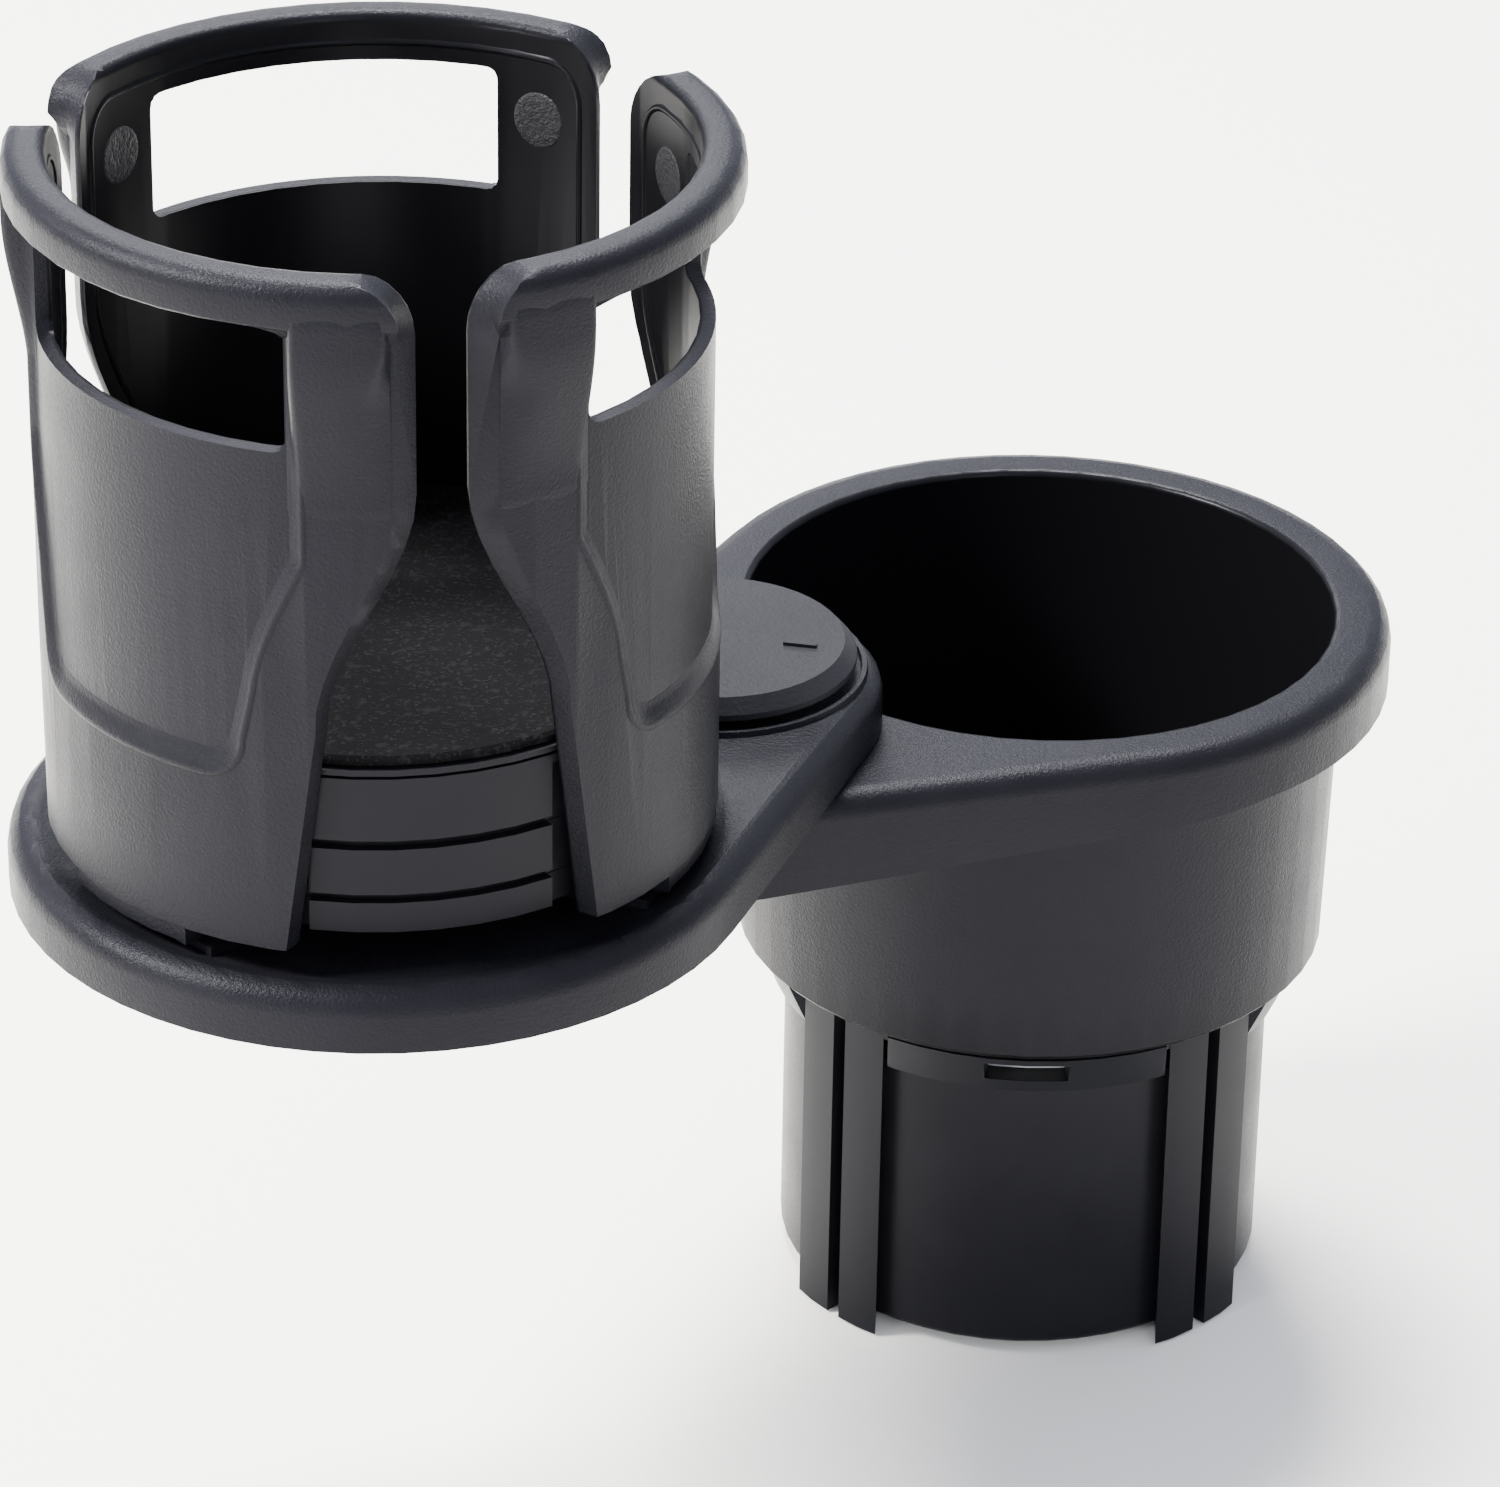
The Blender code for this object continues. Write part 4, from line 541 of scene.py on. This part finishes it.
def crest(point):
    """The step from the sunk field up to the leaf's outside, wider along its foot."""
    foot_share = 1 - (point.y - FIELD_FOOT) / FOOT_BAND
    reach = FIELD_SLOPE * MM * (1 + min(1, max(0, foot_share)))
    section = [(-0.7 * MM, FIELD_FLOOR - 0.12 * MM), (-0.4 * MM, FIELD_FLOOR + 0.05 * MM)]
    section += [(reach * share, FIELD_FLOOR + (share + swell) * MM) for share, swell in CREST_LIFTS]
    section += [(reach + beyond * MM, LEAF_OUTSIDE + swell * MM) for beyond, swell in CREST_END]
    return section


for index in range(3):
    leaf_piece(f"field_crest_{index + 1}", index, carried(field_line, crest), finishes["leaf"])
print("crests carried round the fields")

# %% [markdown]
# ## The rail melts into its posts
# The thick rail along a leaf's top turns down into the post on each side of the window. The CAD ends it
# with a step, and here a shell over each post swells upwards until it is flush with the rail, and rolls
# over at the edge. A Boolean union with a smooth form would need a remesh to lose its seam, while a shell
# hides its borders inside the leaf.

# %% Blend the rails into the posts
# Here all sizes are in mm: distances round the leaf, heights and radii
POST_START = 24.5
POST_EDGE = 36.78
POST_COLUMNS = (POST_START, 24.6, 24.9, 25.3, 25.7, 26.1, 26.5, 27.2, 28.5, 30.5, 32.4, 33.4, 34.3)
POST_COLUMNS += (35, 35.5, 36, 36.35, 36.6, 36.72, POST_EDGE)
POST_FOOT = 165.5
POST_STEP = 0.9
POST_ROWS = 30
RAIL_STAND = 2.52
PROUD = 0.03  # how far a shell stays outside the leaf
HIDDEN = 0.15  # how far its borders go in again
SWELL_START, SWELL_RISE = 167, 20  # the height where a shell starts to swell, and over how much more
SIDE_START, SIDE_RISE = 24.6, 1.6  # the same for its side at the window, in distance round the leaf
TURN_START, TURN_RISE = 180, 9  # the height where the roll at its edge starts to tighten
SOFT_ROLL, TIGHT_ROLL = (32.4, 1.6), (35, 4)  # where round the leaf a roll starts, and its power


def eased(value):
    value = min(1, max(0, value))
    return value * value * (3 - 2 * value)


def post_radius(away, height):
    """The radius of a post's outer face, which swells upwards to the rail's and rolls over at its edge."""
    tightness = eased((height - TURN_START) / TURN_RISE)
    roll_start, power = (soft + (tight - soft) * tightness for soft, tight in zip(SOFT_ROLL, TIGHT_ROLL))
    roll = max(0, (away - roll_start) / (POST_EDGE - roll_start)) ** power
    side = eased((away - SIDE_START) / SIDE_RISE)
    floor = FIELD_FLOOR / MM + min(1, max(0, (away - SHOULDER.x) / FIELD_SLOPE))
    swell = (LEAF_OUTSIDE / MM + RAIL_STAND - floor) * eased((height - SWELL_START) / SWELL_RISE)
    return floor + PROUD + swell * side * (1 - roll)


def post_rows(side):
    rows = []
    for step in range(POST_ROWS):
        height = POST_FOOT + POST_STEP * step
        row = []
        for across in sorted(side * away for away in POST_COLUMNS):
            border = abs(across) in (POST_START, POST_EDGE) or step in (0, POST_ROWS - 1)
            radius = post_radius(abs(across), height) - (HIDDEN if border else 0)
            row.append((across * MM, height * MM, radius * MM))
        rows.append(row)
    return rows


for index in range(3):
    for side, word in SIDES:
        leaf_piece(f"rail_blend_{index + 1}_{word}", index, post_rows(side), finishes["leaf"])
print("rails blended into the posts")

# %% [markdown]
# ## A fine bead inside
# Inside, a fine bead runs along the leaf's edge and round its upper corners. A groove in the bump would
# shift the light too, but it has no outline of its own, and a bead of real height shows from every side.

# %% Shape the bead along the inside edge
# The bead's section, as offsets and rises in mm, and the corners of its line, also in mm
BEAD = ((-0.55, -0.05), (-0.4, 0.12), (-0.2, 0.26), (0, 0.3), (0.2, 0.26), (0.4, 0.12), (0.55, -0.05))
BEAD_FOOT, BEAD_KNEE, BEAD_NECK = Vector((24.4, 134.5)), Vector((25.6, 138.5)), Vector((36.8, 168))
BEAD_STEPS = 9
BEAD_ROUND = 5 * MM
BEAD_ROUND_CENTRE = (31.8 * MM, 186.6 * MM)
bead_right = [BEAD_FOOT * MM, BEAD_KNEE * MM]
rise = BEAD_NECK - BEAD_KNEE
for i in range(1, BEAD_STEPS + 1):
    part = i / BEAD_STEPS
    bead_right.append(Vector((BEAD_KNEE.x + rise.x * eased(part), BEAD_KNEE.y + rise.y * part)) * MM)
bead_right += arc_points(BEAD_ROUND_CENTRE, BEAD_ROUND, 0, 90, 8)
bead_line = evenly(bead_right + mirrored(bead_right), spacing=0.8 * MM)


def bead(point):
    """The bead's section, which is the same at every point of the line."""
    return [(offset * MM, LEAF_INSIDE - rise * MM) for offset, rise in BEAD]


bead_rows = carried(bead_line, bead)
print(len(bead_line), "points along each bead")

# %% [markdown]
# ## Rough marks in the corners
# In the upper corners inside each leaf the mould was eroded to a round, rough patch. It could be a mask
# in the leaf's own material, but the patch stands a little proud, so it is a thin disc with a lumpy
# finish. The cell goes leaf by leaf, and gives each one its bead and its two marks together.


# %% Set the beads and the rough marks inside the leaves
MARK_PLACE = (30.4, 183.5)  # distance round the leaf and height, in mm
MARK_PROFILE = ((0.01, 0.12), (1.8, 0.12), (3.3, 0.12), (3.6, 0.08), (3.7, -0.05))  # radius, rise
MARK_STEPS = 32


def rough_mark():
    material, shader = new_finish("eroded_mark", (0.006, 0.006, 0.007), 0.5, specular=0.25)
    lumps = noise(material, 0.7 * MM, 3, 0.7)
    join(material, between(material, lumps, *MOST_NOISE, 0.3, 0.6), shader.inputs["Roughness"])
    tone = mixed(material, "RGBA", (0.004, 0.004, 0.005), (0.012, 0.012, 0.014), lumps)
    join(material, tone, shader.inputs["Base Color"])
    bumped(material, shader, lumps, 0.35 * MM)
    return material


def mark_rows(side):
    rows = []
    for i in range(MARK_STEPS + 1):
        angle = 2 * math.pi * i / MARK_STEPS
        row = []
        for reach, rise in MARK_PROFILE:
            across = (MARK_PLACE[0] * side + reach * math.cos(angle)) * MM
            height = (MARK_PLACE[1] + reach * math.sin(angle)) * MM
            row.append((across, height, LEAF_INSIDE - rise * MM))
        rows.append(row)
    return rows


eroded = rough_mark()
for index in range(3):
    leaf_piece(f"inner_bead_{index + 1}", index, bead_rows, finishes["leaf"], inward=True)
    for side, word in SIDES:
        leaf_piece(f"mould_mark_{index + 1}_{word}", index, mark_rows(side), eroded)
print("beads and marks set inside the leaves")

# %% [markdown]
# ## The white table
# The photo was taken on a white sweep, with only a soft shadow at the foot of the base. A curved backdrop
# would close the horizon, but the camera looks down and never sees one, so a large plain floor a hair
# below the foot is enough. Its faint yellow evens out the bluish sky. It belongs to the stage and not to
# the object.

# %% Lay the floor
FLOOR_DROP = 0.4 * MM
floor_shape = bmesh.new()
bmesh.ops.create_grid(floor_shape, x_segments=1, y_segments=1, size=6)
bmesh.ops.translate(floor_shape, verts=floor_shape.verts, vec=(0, 0, -FLOOR_DROP))
floor_mesh = bpy.data.meshes.new("studio_floor")
floor_shape.to_mesh(floor_mesh)
floor_shape.free()
studio_floor = placed("studio_floor", floor_mesh)
floor_material, floor_shader = new_finish("white_sweep", (0.9, 0.9, 0.92), 0.9, specular=0.1)
floor_tones = ((0.955, 0.94, 0.875), (0.965, 0.95, 0.89))
soft_tone = mixed(floor_material, "RGBA", *floor_tones, noise(floor_material, 0.4, 1))
join(floor_material, soft_tone, floor_shader.inputs["Base Color"])
floor_mesh.materials.append(floor_material)
studio_floor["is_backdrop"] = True
print("floor at", round(floor_mesh.vertices[0].co.z * 1000, 2), "mm")

# %% [markdown]
# ## Soft light
# Black plastic shows its form only by what it reflects. A lamp high on the left draws the long soft
# lights down the rail and along the tray, a weak one from the right front lifts the cup's wall, and a
# small one low on the left brings out the grain. A lamp above and behind the object lights the knob and
# the plate, and a weak, lower one edges the rims at the back. A Sun would do for the first, but area
# lamps of a known size say how soft each light is.


# %% Hang the lamps
LIT_PLACE = Vector((-0.04, -0.04, 0.1))


def soft_lamp(name, place, width, height, power, tint=(1, 1, 1)):
    """A rectangular lamp that is aimed at the middle of the object."""
    data = bpy.data.lights.new(name, "AREA")
    data.shape = "RECTANGLE"
    data.size = width
    data.size_y = height
    data.energy = power
    data.color = tint
    lamp = placed(name, data)
    away = Vector(place) - LIT_PLACE
    lamp.matrix_world = Matrix.Translation(place) @ away.to_track_quat("Z", "Y").to_matrix().to_4x4()
    return lamp


lamps = [
    soft_lamp("key_left", (-0.95, -0.25, 0.95), 0.3, 0.3, 60, (1, 0.985, 0.96)),
    soft_lamp("fill_front", (0.5, -1.3, 0.7), 0.4, 0.4, 4),
    soft_lamp("spark_low_left", (-0.75, -0.75, 0.3), 0.1, 0.1, 4),
    soft_lamp("top_back", (-0.1, 0.5, 1.3), 0.5, 0.35, 72),
    soft_lamp("rim_back", (-0.35, 1.25, 0.62), 0.7, 0.25, 5),
]
print([lamp.name for lamp in lamps])

# %% [markdown]
# ## A bright room
# The background is nearly white all round, and black plastic mirrors that as a cool grey sheen at its
# edges. An HDR picture of a studio would do the same with more variety, but an even, bluish sky is plain
# and has no file.

# %% Light the room
world = bpy.data.worlds.new("white_room")
bpy.context.scene.world = world
world.use_nodes = True
sky = world.node_tree.nodes["Background"]
sky.inputs["Color"].default_value = (0.8, 0.83, 1, 1)
sky.inputs["Strength"].default_value = 1.35
print("sky strength", round(sky.inputs["Strength"].default_value, 2))

# %% [markdown]
# ## The size stays
# The looks should leave the object's size as it is, so the box of the CAD is compared with the box of the
# dressed model, and the change is printed in millimetres.

# %% Print the change between the two boxes
dressed_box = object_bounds()
changes = [(b - a) * 1000 for c, d in zip(cad_box, dressed_box) for a, b in zip(c, d)]
print("size change in mm:", [round(change, 3) for change in changes])
